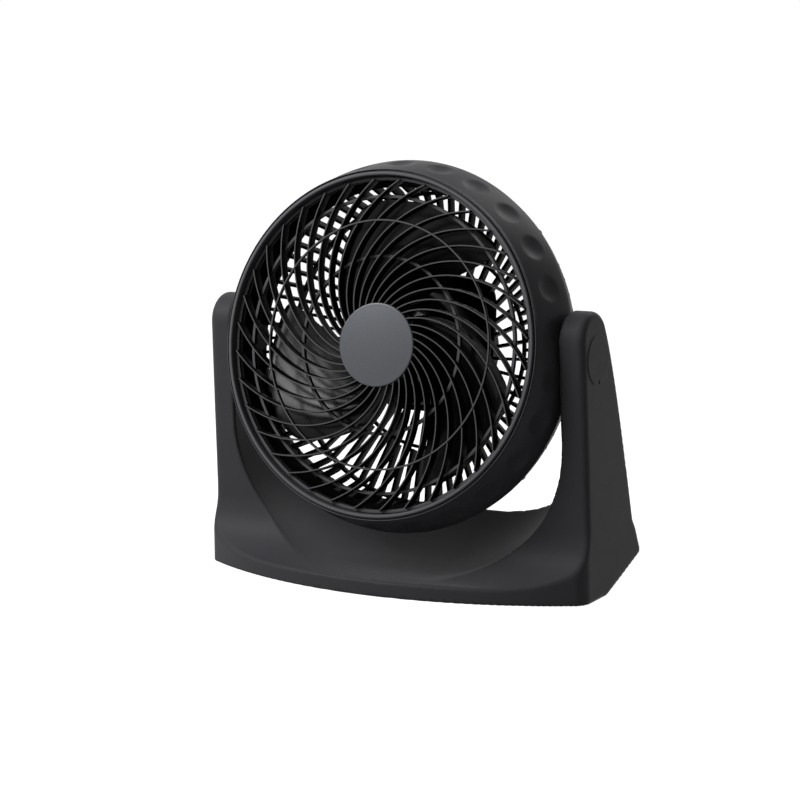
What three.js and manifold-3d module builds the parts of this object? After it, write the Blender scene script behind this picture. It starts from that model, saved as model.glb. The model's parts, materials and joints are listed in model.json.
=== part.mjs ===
// A table-top high velocity fan. A round head with a spiral front grille tilts between the two arms
// of a moulded U-shaped stand. Millimetres, +X to the viewer's right, -Y to the front, +Z up.
// The head, the rotor and the knob are drawn about the head's own axis, which runs along Y.
import * as THREE from 'three';
import { mergeVertices, toCreasedNormals } from 'three/addons/utils/BufferGeometryUtils.js';
import Module from 'manifold-3d';

const wasm = await Module();
wasm.setup();

// Sizes that every piece shares
const overrun = 6; // how far a cutter runs past the face that it cuts
const fit = 0.3; // gap between neighbouring pieces
const wall = 2.6; // moulded plastic wall
const sink = 0.8; // how far a rib or boss runs into what it grows from
const creaseDegrees = 32; // facets that meet more sharply than this show an edge
const headTiltDegrees = 8; // the head leans back this much at rest

// The stand
const stand = {
  armThickness: 19, // from the channel's upper wall to the stand's side, at the floor
  topNarrowing: 3.5, // each side leans in this much over the arm's height
  edgeRadius: 7,
  floorGap: 1.2,
  frontReach: 75, // middle of the fascia, ahead of the stand's own centre plane
  frontRadius: 286,
  shelfHeight: 13,
  coveRadius: 42,
  coveReach: 64, // where the shelf starts to rise into the arms
  armFrontReach: 20, // foot of the arm's front face
  armTopCentreY: -9,
  armTopOverPivot: 14.2, // centre of the arm's round top above the pivot
  armTopRadius: 22,
  armRearDegrees: 25.5, // where the round top runs out into the rear edge
  rearEdgePull: 54,
  rearEdgeLean: 16,
  kinkY: 64.2,
  kinkZ: 51.8,
  shoulderY: 70.8,
  shoulderZ: 44,
  heelY: 80,
  heelZ: 25.8,
  heelFootY: 78,
  undercutStartY: 15,
  undercutHeight: 22,
  undercutLength: 45,
};

// The channel between the arms
const channel = {
  cornerRadius: 107,
  rearCornerGrowth: 11,
  draft: 3, // each wall stands this much further in, low down
  highDrop: 38.3, // the walls are upright from this far below the pivot
  riseStart: -30, // the floor climbs from here to the rear rim
  riseEnd: 65,
  rise: 29.5,
};

// The hollow under the stand and its cover
const under = {
  sideInset: 12,
  cornerInset: 52,
  stepY: 10,
  rearY: 74,
  ceiling: 34,
  plateLift: 3,
  plateThickness: 2,
  bossRadius: 4,
  screwBore: 1.7,
  frontScrewInset: 40,
  frontScrewGap: 10.7, // behind the fascia's inner face
  rearScrewInset: 26,
  rearScrewY: 56,
  screwDepth: 5.5,
};
const foot = {
  radius: 9,
  lip: 1.2,
  stemRadius: 2.4,
  frontInset: 18,
  frontGap: 13.4,
  rearInset: 12,
  rearY: 62,
};
const smallScrew = { headRadius: 3.2, headHeight: 2, shankRadius: 1.4 };

// The pivots
const pivot = {
  y: -4,
  overRadius: 40.3, // the pivot's height above the shroud's radius
  trunnionRadius: 10.5,
  trunnionProud: 1,
  trunnionLength: 15,
  washerThickness: 1.4,
  washerBore: 3.5,
  shankRadius: 3,
  screwReach: 12,
  seatDepth: 7,
  headRadius: 7,
  headHeight: 4.2,
  wellRadius: 8.6,
  capRadius: 20,
  capThickness: 1.8,
  capPlug: 7.8,
  notchRadius: 2.2,
};

// The shroud ring round the head
const shroud = {
  widestRadius: 148,
  frontY: -46.5,
  flare: 11, // the front is this much narrower
  widestY: 3,
  flarePower: 1.4,
  rearTaper: 2,
  rearY: 11,
  wall: 3.2,
  lipInset: 4.3,
  lipHalf: 1.5,
  lipWidth: 3.1,
  lipY: -49,
  lipDrop: 1.2,
  ledgeWidth: 2.7,
  ledgeY: -37.3,
  ledgeThickness: 2,
  ductRearY: -20.5, // the duct round the blade ends here
  ductTaper: 4,
  ductWall: 1.8,
  bossRadius: 4.4,
  bossInset: 8,
  bossLength: 16,
};
const dimple = { count: 26, radius: 9.5, depth: 2.1, y: -27, sides: 8, rings: 1 };

// The front grille
const ribs = {
  count: 36,
  width: 1.9,
  spiralDegrees: 37.7, // between a rib and the radius
  phaseDegrees: 5.3,
  frontY: -46,
  rearY: -37.6,
  steps: 4,
};
const grille = {
  hubRadius: 33.4,
  hubWall: 1.6,
  hubFloorY: -43,
  hubFrontY: -46.6,
  rimWidth: 3.2,
  rimFrontY: -43,
  backY: -37.6,
  frontRingShare: 0.6722, // of the way from the hub to the rim
  frontRingProud: 0.7,
  frontRingWidth: 1.8,
  frontRingDepth: 3,
  backRingShares: [0.381, 0.8706],
  backRingY: -41.2,
  backRingDepth: 3.6,
  backRingWidth: 2.2,
};
const badge = { edgeY: -46.9, crownY: -48.4, edgeRound: 0.7 };

// The rear grille
const rear = {
  ribCount: 72,
  ribWidth: 2.4,
  ribDepth: 3.4,
  swirlDegrees: 12,
  ribEndDepth: 2.2,
  ribInset: 0.4, // how far a rib's end lies inside the face of the flange or plate
  hoopFront: 3.2,
  hoopBack: 1,
  flangeWidth: 3.6,
  flangeThickness: 5,
  shoulderInset: 21,
  shoulderY: 40,
  ringWidth: 2.6,
  plateMargin: 8,
  plateY: 56,
  plateThickness: 3,
  postRadius: 5,
  postInset: 11,
};

// The motor, from the front bracket to the rear one
const motor = {
  radius: 38,
  coreStart: 22,
  coreEnd: 42,
  coreThickness: 20,
  bracketWall: 3,
  bracketDepth: 11,
  bossRadius: 9.5,
  bossDepth: 8,
  bearingRadius: 6.5,
  slotCount: 8,
  slotRadius: 3,
  windingGap: 2.5,
  windingInset: 7.5,
  windingDepth: 6,
  shaftRadius: 4,
  airGap: 0.6,
};
const motorCover = { gap: 8, wall: 2, frontY: 5.5, round: 4, hole: 13 };
const controlCover = {
  margin: 4,
  wall: 2.2,
  depth: 18,
  round: 8,
  spindleHole: 4.4,
  bossRadius: 4.6,
  bossInset: 11,
  well: 3.7,
  wellDepth: 7,
};
const speedSwitch = { width: 26, height: 22, depth: 8, neck: 6.5, neckLength: 3 };
const spindle = { radius: 3, length: 20 };
const knob = { radius: 17, skirt: 19, depth: 15, skirtDepth: 3, grips: 18, gripRadius: 1.5, pointer: 1.6 };
const gland = { flange: 7, flangeDepth: 3, neck: 5, neckLength: 7, bore: 3.2 };

// The blade and its nut
const fan = {
  bladeCount: 3,
  tipInset: 33,
  hubFront: -30,
  hubRear: 3,
  hubFrontRadius: 32,
  hubRadius: 35,
  hubWall: 2.4,
  hubRound: 4,
  bossRadius: 9,
  thickness: 2,
  edgeThickness: 1,
  rootSpanDegrees: 86,
  tipSpanDegrees: 64,
  sweepDegrees: -12,
  phaseDegrees: 70,
  frontY: -29,
  rearRootY: 1,
  rearTipY: -5,
  archPower: 1.15,
  tipTuckShare: 0.16,
  tipTuckPower: 5,
  chordSteps: 4,
  radialSteps: 5,
};
const nut = { radius: 8.5, depth: 5.6, tip: 4 };

// Sizes that follow from the ones above. The shroud's widest radius leads the head and the stand.
shroud.frontRadius = shroud.widestRadius - shroud.flare;
shroud.rearRadius = shroud.widestRadius - shroud.rearTaper;
shroud.lipInner = shroud.frontRadius - shroud.lipInset;
shroud.lipCrest = shroud.lipInner + shroud.lipHalf;
shroud.lipOuter = shroud.lipInner + shroud.lipWidth;
shroud.ledgeRadius = shroud.lipInner - shroud.ledgeWidth;
shroud.ductRadius = shroud.ledgeRadius - shroud.ductTaper;
shroud.bossCentre = shroud.widestRadius - shroud.bossInset;
grille.rimOuter = shroud.lipInner - fit;
grille.rimInner = grille.rimOuter - grille.rimWidth;
badge.radius = grille.hubRadius - grille.hubWall - fit;
fan.tipRadius = shroud.widestRadius - fan.tipInset;

motor.coreBore = motor.radius - motor.coreThickness;
motor.rotorRadius = motor.coreBore - motor.airGap;
motor.windingInner = motor.coreBore + motor.windingGap;
motor.windingOuter = motor.radius - motor.windingInset;
motor.slotCentre = (motor.windingInner + motor.windingOuter) / 2;
motorCover.radius = motor.radius + motorCover.gap;
rear.postCentre = motor.radius - rear.postInset;
rear.plateRadius = motorCover.radius + rear.plateMargin;
rear.flangeInner = shroud.rearRadius - rear.flangeWidth;
rear.shoulderRadius = shroud.widestRadius - rear.shoulderInset;
controlCover.radius = rear.plateRadius - controlCover.margin;
controlCover.bossCentre = controlCover.radius - controlCover.bossInset;

pivot.z = shroud.widestRadius + pivot.overRadius;
pivot.trunnionEnd = shroud.widestRadius + pivot.trunnionProud;
pivot.trunnionStart = pivot.trunnionEnd - pivot.trunnionLength;
pivot.screwStart = pivot.trunnionEnd - pivot.screwReach;
channel.halfWidthHigh = pivot.trunnionEnd + pivot.washerThickness + 2 * fit;
channel.halfWidthLow = channel.halfWidthHigh - channel.draft;
channel.halfFloor = channel.halfWidthLow - channel.cornerRadius;
channel.rearCornerRadius = channel.cornerRadius + channel.rearCornerGrowth;
channel.highStart = pivot.z - channel.highDrop;
pivot.seat = channel.halfWidthHigh + pivot.seatDepth;
stand.halfWidth = channel.halfWidthHigh + stand.armThickness;
stand.undercutInnerX = stand.halfWidth - stand.undercutLength;
stand.armTopCentreZ = pivot.z + stand.armTopOverPivot;
under.halfWidth = stand.halfWidth - under.sideInset;
under.rearHalfWidth = stand.halfWidth - under.cornerInset;
under.frontScrewX = under.halfWidth - under.frontScrewInset;
under.rearScrewX = under.rearHalfWidth - under.rearScrewInset;
foot.frontX = under.halfWidth - foot.frontInset;
foot.rearX = under.rearHalfWidth - foot.rearInset;

const plastic = new THREE.Color(0x2c2c2e);
const dark = new THREE.Color(0x17171a);
const satin = new THREE.Color(0x5b5c60);
const steel = new THREE.Color(0xb9bbbe);
const rubber = new THREE.Color(0x151515);
const copper = new THREE.Color(0xa8582c);
const bronze = new THREE.Color(0x9c7a45);

const radians = THREE.MathUtils.degToRad;

// Solids from closed geometries, and back

// The signed volume tells whether a closed mesh faces outwards.
function facesOut(positions, index) {
  const a = new THREE.Vector3();
  const b = new THREE.Vector3();
  const c = new THREE.Vector3();
  let volume = 0;
  for (let i = 0; i < index.length; i += 3) {
    a.fromArray(positions, 3 * index[i]);
    b.fromArray(positions, 3 * index[i + 1]);
    c.fromArray(positions, 3 * index[i + 2]);
    volume += a.dot(b.cross(c));
  }
  return volume > 0;
}

function solid(geometry) {
  const bare = geometry.clone();
  bare.deleteAttribute('normal');
  bare.deleteAttribute('uv');
  const merged = mergeVertices(bare);
  const positions = merged.attributes.position.array;
  const index = [];
  for (let i = 0; i < merged.index.count; i += 3) {
    const [a, b, c] = [0, 1, 2].map((k) => merged.index.getX(i + k));
    if (a !== b && b !== c && c !== a) index.push(a, b, c);
  }
  if (!facesOut(positions, index)) index.reverse();
  const mesh = new wasm.Mesh({
    numProp: 3,
    vertProperties: new Float32Array(positions),
    triVerts: new Uint32Array(index),
  });
  return new wasm.Manifold(mesh);
}

function geometryOf(body) {
  const mesh = body.getMesh();
  const geometry = new THREE.BufferGeometry();
  geometry.setAttribute('position', new THREE.BufferAttribute(mesh.vertProperties, 3));
  geometry.setIndex(new THREE.BufferAttribute(mesh.triVerts, 1));
  return toCreasedNormals(geometry, radians(creaseDegrees));
}

const joined = (bodies) => bodies.reduce((sum, body) => sum.add(body));
const cut = (body, cutters) => (cutters.length ? body.subtract(joined(cutters)) : body);

// Basic forms

// An outline of (y, z) points drawn out along X.
function alongX(shape, from, to, options = {}) {
  const geometry = new THREE.ExtrudeGeometry(shape, { depth: to - from, bevelEnabled: false, ...options });
  const turn = new THREE.Matrix4().makeBasis(
    new THREE.Vector3(0, 1, 0),
    new THREE.Vector3(0, 0, 1),
    new THREE.Vector3(1, 0, 0),
  );
  return geometry.applyMatrix4(turn).translate(from, 0, 0);
}

// An outline of (x, y) points drawn up along Z.
function alongZ(shape, from, to) {
  const options = { depth: to - from, bevelEnabled: false, curveSegments: 14 };
  return new THREE.ExtrudeGeometry(shape, options).translate(0, 0, from);
}

// A closed profile of [radius, y] pairs turned about the Y axis.
function turned(profile, sides) {
  const points = profile.map(([r, y]) => new THREE.Vector2(r, y));
  points.push(points[0].clone());
  return new THREE.LatheGeometry(points, sides);
}

// A round bar along Y between two heights, at (x, z).
function bar(radius, from, to, x = 0, z = 0, sides = 16) {
  return turned([[0, from], [radius, from], [radius, to], [0, to]], sides).translate(x, 0, z);
}

// A flat ring about Y.
function ring(inner, outer, from, to, sides) {
  return turned([[inner, from], [outer, from], [outer, to], [inner, to]], sides);
}

// Turns a piece drawn about Y so that its axis runs along X, out of the given side.
const outwards = (geometry, side) => geometry.rotateZ(-side * radians(90));
// Turns a piece drawn about Y so that its axis runs up.
const upright = (geometry) => geometry.rotateX(radians(90));

// A skin over rings of points that all have the same count, closed by flat ends.
function lofted(rings, endTriangles) {
  const count = rings[0].length;
  const index = [];
  for (let s = 0; s < rings.length - 1; s++) {
    for (let k = 0; k < count; k++) {
      const a = s * count + k;
      const b = s * count + ((k + 1) % count);
      index.push(a, b, b + count, a, b + count, a + count);
    }
  }
  const last = (rings.length - 1) * count;
  for (const [a, b, c] of endTriangles) {
    index.push(c, b, a, last + a, last + b, last + c);
  }
  const geometry = new THREE.BufferGeometry();
  const places = rings.flat().flatMap((p) => p.toArray());
  geometry.setAttribute('position', new THREE.Float32BufferAttribute(places, 3));
  geometry.setIndex(index);
  return geometry;
}
const fourCorners = [[0, 1, 2], [0, 2, 3]];

// A screw drawn about Y: its head lies towards +Y and its shank towards -Y.
function screw(headRadius, headHeight, shankRadius, shankLength) {
  const profile = [
    [0, -shankLength],
    [shankRadius, -shankLength],
    [shankRadius, 0],
    [headRadius, 0],
    [headRadius, headHeight],
    [0, headHeight],
  ];
  return turned(profile, 6);
}

// The stand

const arcCentreY = stand.frontRadius - stand.frontReach;
const frontArcY = (x, radius) => arcCentreY - Math.sqrt(radius * radius - x * x);
const armTop = stand.armTopCentreZ + stand.armTopRadius;
const aboveAll = armTop + overrun;
const narrowing = (z) => 1 - (stand.topNarrowing / stand.halfWidth) * (z / armTop);
const armOuterAtPivot = stand.halfWidth * narrowing(pivot.z);

// The arm and the rear of the stand, seen from the side. It runs below the floor so that the rounded
// edges stop at the upright faces.
function armOutline() {
  const end = radians(stand.armRearDegrees);
  const below = -overrun - stand.edgeRadius;
  const startY = stand.armTopCentreY + stand.armTopRadius * Math.cos(end);
  const startZ = stand.armTopCentreZ + stand.armTopRadius * Math.sin(end);
  const lean = radians(stand.rearEdgeLean);
  const shape = new THREE.Shape();
  shape.moveTo(-stand.armFrontReach, below);
  shape.lineTo(-stand.armFrontReach, 0);
  shape.lineTo(stand.armTopCentreY - stand.armTopRadius, stand.armTopCentreZ);
  shape.absarc(stand.armTopCentreY, stand.armTopCentreZ, stand.armTopRadius, Math.PI, end, true);
  shape.bezierCurveTo(
    startY + stand.rearEdgePull * Math.sin(end),
    startZ - stand.rearEdgePull * Math.cos(end),
    stand.kinkY - stand.rearEdgePull * Math.sin(lean),
    stand.kinkZ + stand.rearEdgePull * Math.cos(lean),
    stand.kinkY,
    stand.kinkZ,
  );
  shape.lineTo(stand.shoulderY, stand.shoulderZ);
  shape.lineTo(stand.heelY, stand.heelZ);
  shape.lineTo(stand.heelFootY, 0);
  shape.lineTo(stand.heelFootY, below);
  return shape;
}

// The shelf ahead of the arms, seen from the side, with the cove that rises into them.
function shelfOutline() {
  const top = stand.shelfHeight;
  const centreZ = top + stand.coveRadius;
  const shape = new THREE.Shape();
  shape.moveTo(-stand.frontReach - overrun, -overrun);
  shape.lineTo(-stand.frontReach - overrun, top);
  shape.lineTo(-stand.coveReach, top);
  shape.absarc(-stand.coveReach, centreZ, stand.coveRadius, -Math.PI / 2, 0, false);
  shape.lineTo(0, centreZ);
  shape.lineTo(0, -overrun);
  return shape;
}

// The fascia's plan: a long front arc with rounded ends.
function fasciaPlan() {
  const ends = stand.halfWidth - stand.edgeRadius;
  const cornerY = frontArcY(stand.halfWidth, stand.frontRadius);
  const sweep = Math.asin(ends / stand.frontRadius);
  const down = -Math.PI / 2;
  const shape = new THREE.Shape();
  shape.moveTo(-stand.halfWidth, stand.heelY);
  shape.lineTo(-stand.halfWidth, cornerY + stand.edgeRadius);
  shape.quadraticCurveTo(-stand.halfWidth, cornerY, -ends, frontArcY(ends, stand.frontRadius));
  shape.absarc(0, arcCentreY, stand.frontRadius, down - sweep, down + sweep, false);
  shape.quadraticCurveTo(stand.halfWidth, cornerY, stand.halfWidth, cornerY + stand.edgeRadius);
  shape.lineTo(stand.halfWidth, stand.heelY);
  return shape;
}

// Height of the channel's floor, which climbs behind the front shelf.
function channelFloor(y) {
  const share = Math.max(0, (y - channel.riseStart) / (channel.riseEnd - channel.riseStart));
  return stand.shelfHeight + channel.rise * share * share;
}

// The space between the arms: U-shaped sections from front to rear, grown outwards for the hollow.
function channelCutter(grow) {
  const arcSteps = 7;
  const yShares = [0, 0.32, 0.45, 0.58, 0.7, 0.82, 0.93, 1];
  const front = -stand.frontReach - overrun;
  const back = stand.heelY + overrun;
  const outlines = yShares.map((share) => {
    const y = front + (back - front) * share;
    const climb = Math.min(1, Math.max(0, (y - channel.riseStart) / (channel.riseEnd - channel.riseStart)));
    const radius = channel.cornerRadius + (channel.rearCornerRadius - channel.cornerRadius) * climb + grow;
    const floor = channelFloor(y) - grow;
    const reach = channel.halfWidthLow + grow - channel.halfFloor;
    const most = Math.asin(Math.min(1, reach / radius));
    const right = [];
    for (let k = 0; k <= arcSteps; k++) {
      const angle = (most * k) / arcSteps;
      right.push([channel.halfFloor + radius * Math.sin(angle), floor + radius * (1 - Math.cos(angle))]);
    }
    right.push([channel.halfWidthHigh + grow, channel.highStart]);
    right.push([channel.halfWidthHigh + grow, aboveAll]);
    const left = right.map(([x, z]) => [-x, z]).reverse();
    return [...right, ...left].map(([x, z]) => new THREE.Vector3(x, y, z));
  });
  const flat = outlines[0].map((p) => new THREE.Vector2(p.x, p.z));
  return lofted(outlines, THREE.ShapeUtils.triangulateShape(flat, []));
}

// Plan of the hollow under the stand, which the bottom plate fills.
function underPlan(inset) {
  const radius = stand.frontRadius - wall - inset;
  const side = under.halfWidth - inset;
  const rearSide = under.rearHalfWidth - inset;
  const step = under.stepY - inset;
  const back = under.rearY - inset;
  const sweep = Math.asin(side / radius);
  const down = -Math.PI / 2;
  const shape = new THREE.Shape();
  shape.moveTo(-side, frontArcY(side, radius));
  shape.absarc(0, arcCentreY, radius, down - sweep, down + sweep, false);
  shape.lineTo(side, step);
  shape.lineTo(rearSide, step);
  shape.lineTo(rearSide, back);
  shape.lineTo(-rearSide, back);
  shape.lineTo(-rearSide, step);
  shape.lineTo(-side, step);
  return shape;
}

// Side view of the hollow: under the shelf, the cove and the scoop.
function hollowOutline() {
  const top = stand.shelfHeight - wall;
  const radius = stand.coveRadius + wall;
  const centreZ = stand.shelfHeight + stand.coveRadius;
  const most = -Math.asin((centreZ - under.ceiling) / radius);
  const shape = new THREE.Shape();
  shape.moveTo(-stand.frontReach, -overrun);
  shape.lineTo(-stand.frontReach, top);
  shape.lineTo(-stand.coveReach, top);
  shape.absarc(-stand.coveReach, centreZ, radius, -Math.PI / 2, most, false);
  shape.lineTo(under.rearY - stand.edgeRadius, under.ceiling);
  shape.lineTo(under.rearY, stand.heelZ);
  shape.lineTo(under.rearY, -overrun);
  return shape;
}

// The raised corner at each end of the rear skirt.
function undercutOutline() {
  const shape = new THREE.Shape();
  shape.moveTo(stand.undercutStartY, 0);
  shape.lineTo(stand.heelY + overrun, stand.undercutHeight + stand.floorGap);
  shape.lineTo(stand.heelY + overrun, -overrun);
  shape.lineTo(stand.undercutStartY, -overrun);
  return shape;
}

// The front screws and feet keep their distance to the inner face of the fascia.
const insideFascia = (x, gap) => frontArcY(x, stand.frontRadius - wall) + gap;
const frontScrewY = insideFascia(under.frontScrewX, under.frontScrewGap);
const frontFootY = insideFascia(foot.frontX, foot.frontGap);
const screwSpots = [
  ['front_left', -under.frontScrewX, frontScrewY],
  ['front_right', under.frontScrewX, frontScrewY],
  ['rear_left', -under.rearScrewX, under.rearScrewY],
  ['rear_right', under.rearScrewX, under.rearScrewY],
];
const footSpots = [
  ['front_left', -foot.frontX, frontFootY],
  ['front_right', foot.frontX, frontFootY],
  ['rear_left', -foot.rearX, foot.rearY],
  ['rear_right', foot.rearX, foot.rearY],
];
const plateTop = under.plateLift + under.plateThickness;

function baseShell() {
  const width = 2 * stand.halfWidth;
  const radius = stand.edgeRadius;
  const rounded = {
    bevelEnabled: true,
    bevelThickness: radius,
    bevelSize: radius,
    bevelOffset: -radius,
    bevelSegments: 2,
    curveSegments: 7,
  };
  const block = alongX(armOutline(), radius - stand.halfWidth, width / 2 - radius, rounded);
  const spots = block.attributes.position;
  for (let i = 0; i < spots.count; i++) spots.setX(i, spots.getX(i) * narrowing(spots.getZ(i)));
  const shelf = solid(alongX(shelfOutline(), -stand.halfWidth, stand.halfWidth, { curveSegments: 6 }));
  const fascia = shelf.intersect(solid(alongZ(fasciaPlan(), -overrun, aboveAll)));
  const depthBelow = overrun + stand.edgeRadius + stand.floorGap;
  const belowFloor = new THREE.BoxGeometry(width + overrun, width, depthBelow);
  belowFloor.translate(0, 0, (stand.floorGap - overrun - stand.edgeRadius) / 2);
  const undercuts = [-1, 1].map((side) => {
    const inner = side * stand.undercutInnerX;
    const outer = side * (stand.halfWidth + overrun);
    return solid(alongX(undercutOutline(), Math.min(inner, outer), Math.max(inner, outer)));
  });
  const outside = cut(solid(block).add(fascia),
    [solid(channelCutter(0)), solid(belowFloor.clone()), ...undercuts]);
  const hollow = solid(alongX(hollowOutline(), -under.halfWidth, under.halfWidth, { curveSegments: 5 }))
    .intersect(solid(alongZ(underPlan(0), -overrun, aboveAll)))
    .subtract(solid(channelCutter(wall)));
  let shell = outside.subtract(hollow);
  const bosses = screwSpots.map(([, x, y]) => {
    const top = channelFloor(y) + stand.coveRadius;
    return solid(upright(bar(under.bossRadius, plateTop + fit, top, 0, 0, 8)).translate(x, y, 0));
  });
  const bossRoof = outside.intersect(joined(bosses));
  const bores = screwSpots.map(([, x, y]) => {
    const top = plateTop + under.screwDepth + fit;
    return solid(upright(bar(under.screwBore, 0, top, 0, 0, 8)).translate(x, y, 0));
  });
  shell = cut(shell.add(bossRoof), bores);
  return cut(shell, [-1, 1].flatMap(pivotCutters));
}

// The screw's bore, its well and the cap's recess in one arm.
function pivotCutters(side) {
  const outer = armOuterAtPivot;
  return [
    bar(pivot.shankRadius + fit, channel.halfWidthHigh - overrun, outer, 0, 0, 12),
    bar(pivot.wellRadius, pivot.seat, outer, 0, 0, 16),
    bar(pivot.capRadius + fit, outer - pivot.capThickness - fit, outer + overrun, 0, 0, 28),
  ].map((geometry) => solid(outwards(geometry, side).translate(0, pivot.y, pivot.z)));
}

function basePlate() {
  const plate = solid(alongZ(underPlan(fit), under.plateLift, plateTop));
  const holes = screwSpots.map(([, x, y]) => bar(smallScrew.shankRadius + fit, 0, plateTop + overrun, 0, 0, 8)
    .rotateX(radians(90)).translate(x, y, 0));
  const stems = footSpots.map(([, x, y]) => bar(foot.stemRadius + fit, 0, plateTop + overrun, 0, 0, 8)
    .rotateX(radians(90)).translate(x, y, 0));
  return cut(plate, [...holes, ...stems].map(solid));
}

// A rubber foot: a low disc with a stem pressed up through the plate.
function rubberFoot([, x, y]) {
  const top = under.plateLift - fit;
  const profile = [
    [0, 0],
    [foot.radius - foot.lip, 0],
    [foot.radius, foot.lip],
    [foot.radius, top],
    [foot.stemRadius, top],
    [foot.stemRadius, plateTop + foot.lip],
    [0, plateTop + foot.lip],
  ];
  return solid(upright(turned(profile, 12)).translate(x, y, 0));
}

function baseScrew([, x, y]) {
  const headTop = under.plateLift - fit;
  const length = under.screwDepth + under.plateThickness + fit;
  const body = screw(smallScrew.headRadius, smallScrew.headHeight, smallScrew.shankRadius, length);
  return solid(body.rotateX(radians(-90)).translate(x, y, headTop));
}

// The pivots

function pivotScrew(side) {
  const length = pivot.seat - pivot.screwStart;
  const body = screw(pivot.headRadius, pivot.headHeight, pivot.shankRadius, length);
  return solid(outwards(body.translate(0, pivot.seat + fit, 0), side).translate(0, pivot.y, pivot.z));
}

function pivotWasher(side) {
  const start = pivot.trunnionEnd + fit;
  const body = ring(pivot.washerBore, pivot.trunnionRadius, start, start + pivot.washerThickness, 14);
  return solid(outwards(body, side).translate(0, pivot.y, pivot.z));
}

// A flat round cap with a plug that fills the screw's well, and a notch to prise it out by.
function pivotCap(side) {
  const face = armOuterAtPivot + fit;
  const back = armOuterAtPivot - pivot.capThickness;
  const plugEnd = pivot.seat + pivot.headHeight + 2 * fit;
  const profile = [
    [0, plugEnd],
    [pivot.capPlug, plugEnd],
    [pivot.capPlug, back],
    [pivot.capRadius, back],
    [pivot.capRadius, face - fit],
    [pivot.capRadius - fit, face],
    [0, face],
  ];
  const disc = solid(outwards(turned(profile, 24), side));
  const notch = bar(pivot.notchRadius, face - fit - pivot.washerThickness, face + overrun, 0, 0, 12);
  const cutter = solid(outwards(notch, side).translate(0, 0, -pivot.capRadius));
  return new THREE.Mesh(geometryOf(disc.subtract(cutter)).translate(0, pivot.y, pivot.z));
}

// The shroud ring

// The ring's outer radius at a depth: it swells from the lip to its widest line.
function shroudRadius(y) {
  const share = (shroud.widestY - y) / (shroud.widestY - shroud.frontY);
  return shroud.widestRadius - (shroud.widestRadius - shroud.frontRadius) * share ** shroud.flarePower;
}

function shroudProfile() {
  const bandFront = dimple.y - dimple.radius - sink;
  const bandRear = dimple.y + dimple.radius + sink;
  const ledgeBack = shroud.ledgeY + shroud.ledgeThickness;
  const outer = [shroud.frontY, bandFront, bandRear, shroud.widestY].map((y) => [shroudRadius(y), y]);
  return [
    [shroud.lipInner, shroud.lipY + shroud.lipDrop],
    [shroud.lipCrest, shroud.lipY],
    [shroud.lipOuter, shroud.frontY - fit],
    ...outer,
    [shroud.rearRadius, shroud.rearY],
    [shroud.rearRadius - shroud.wall, shroud.rearY],
    [shroud.widestRadius - shroud.wall, shroud.widestY],
    [shroudRadius(ledgeBack) - shroud.wall, ledgeBack],
    [shroud.ledgeRadius + shroud.ductWall, ledgeBack],
    [shroud.ductRadius + shroud.ductWall, shroud.ductRearY],
    [shroud.ductRadius, shroud.ductRearY],
    [shroud.ledgeRadius, shroud.ledgeY],
    [shroud.lipInner, shroud.ledgeY],
  ];
}

// A shallow round dish, square to the ring's sloping wall.
function dimpleCutter(angle) {
  const sphere = (dimple.radius ** 2 + dimple.depth ** 2) / (2 * dimple.depth);
  const most = Math.asin(dimple.radius / sphere);
  const profile = [[0, -dimple.depth]];
  for (let k = 1; k <= dimple.rings; k++) {
    const a = (most * k) / dimple.rings;
    profile.push([sphere * Math.sin(a), sphere * (1 - Math.cos(a)) - dimple.depth]);
  }
  profile.push([dimple.radius + dimple.depth, dimple.depth], [0, dimple.depth]);
  const slope = Math.atan2(shroudRadius(dimple.y + wall) - shroudRadius(dimple.y - wall), 2 * wall);
  return solid(turned(profile, dimple.sides)
    .rotateZ(-radians(90) - slope)
    .translate(shroudRadius(dimple.y), dimple.y, 0)
    .rotateY(-angle));
}

// The screws stand midway between two ribs of the rear grille.
const screwAngle = radians((360 / rear.ribCount) * (Math.floor(rear.ribCount / 8) - 1 / 2));
const shroudScrewAngles = [screwAngle, Math.PI - screwAngle, Math.PI + screwAngle, -screwAngle];
const onCircle = (radius, angle) => [radius * Math.cos(angle), radius * Math.sin(angle)];

function shroudRing() {
  const body = solid(turned(shroudProfile(), 2 * dimple.count));
  const outside = solid(bar(shroud.widestRadius, shroud.lipY, shroud.rearY, 0, 0, 2 * dimple.count));
  const trunnions = [-1, 1].map((side) => solid(
    outwards(bar(pivot.trunnionRadius, pivot.trunnionStart, pivot.trunnionEnd, 0, 0, 20), side),
  ));
  const bossStart = shroud.rearY - shroud.bossLength;
  const bosses = shroudScrewAngles.map((angle) => solid(
    bar(shroud.bossRadius, bossStart, shroud.rearY, ...onCircle(shroud.bossCentre, angle), 8),
  ).intersect(outside));
  const dishes = [...Array(dimple.count).keys()]
    .map((k) => radians((360 * (k + 1 / 2)) / dimple.count))
    .map(dimpleCutter);
  const bores = shroudScrewAngles.map((angle) => solid(
    bar(smallScrew.shankRadius + fit, shroud.rearY - shroud.bossLength / 2, shroud.rearY + overrun,
      ...onCircle(shroud.bossCentre, angle), 6),
  ));
  const pivotBores = [-1, 1].map((side) => solid(
    outwards(bar(pivot.shankRadius + fit, 0, pivot.trunnionEnd + overrun, 0, 0, 16), side),
  ));
  return cut(cut(body, dishes).add(joined([...trunnions, ...bosses])), [...bores, ...pivotBores]);
}

// The front grille

const ribSlant = radians(ribs.spiralDegrees);
const ribStart = grille.hubRadius - sink;
// How far round the first rib has come at a radius.
const ribTurn = (r) => radians(ribs.phaseDegrees) - Math.tan(ribSlant) * Math.log(r / ribStart);

const ringRadius = (share) => grille.hubRadius + share * (grille.rimInner - grille.hubRadius);

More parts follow.
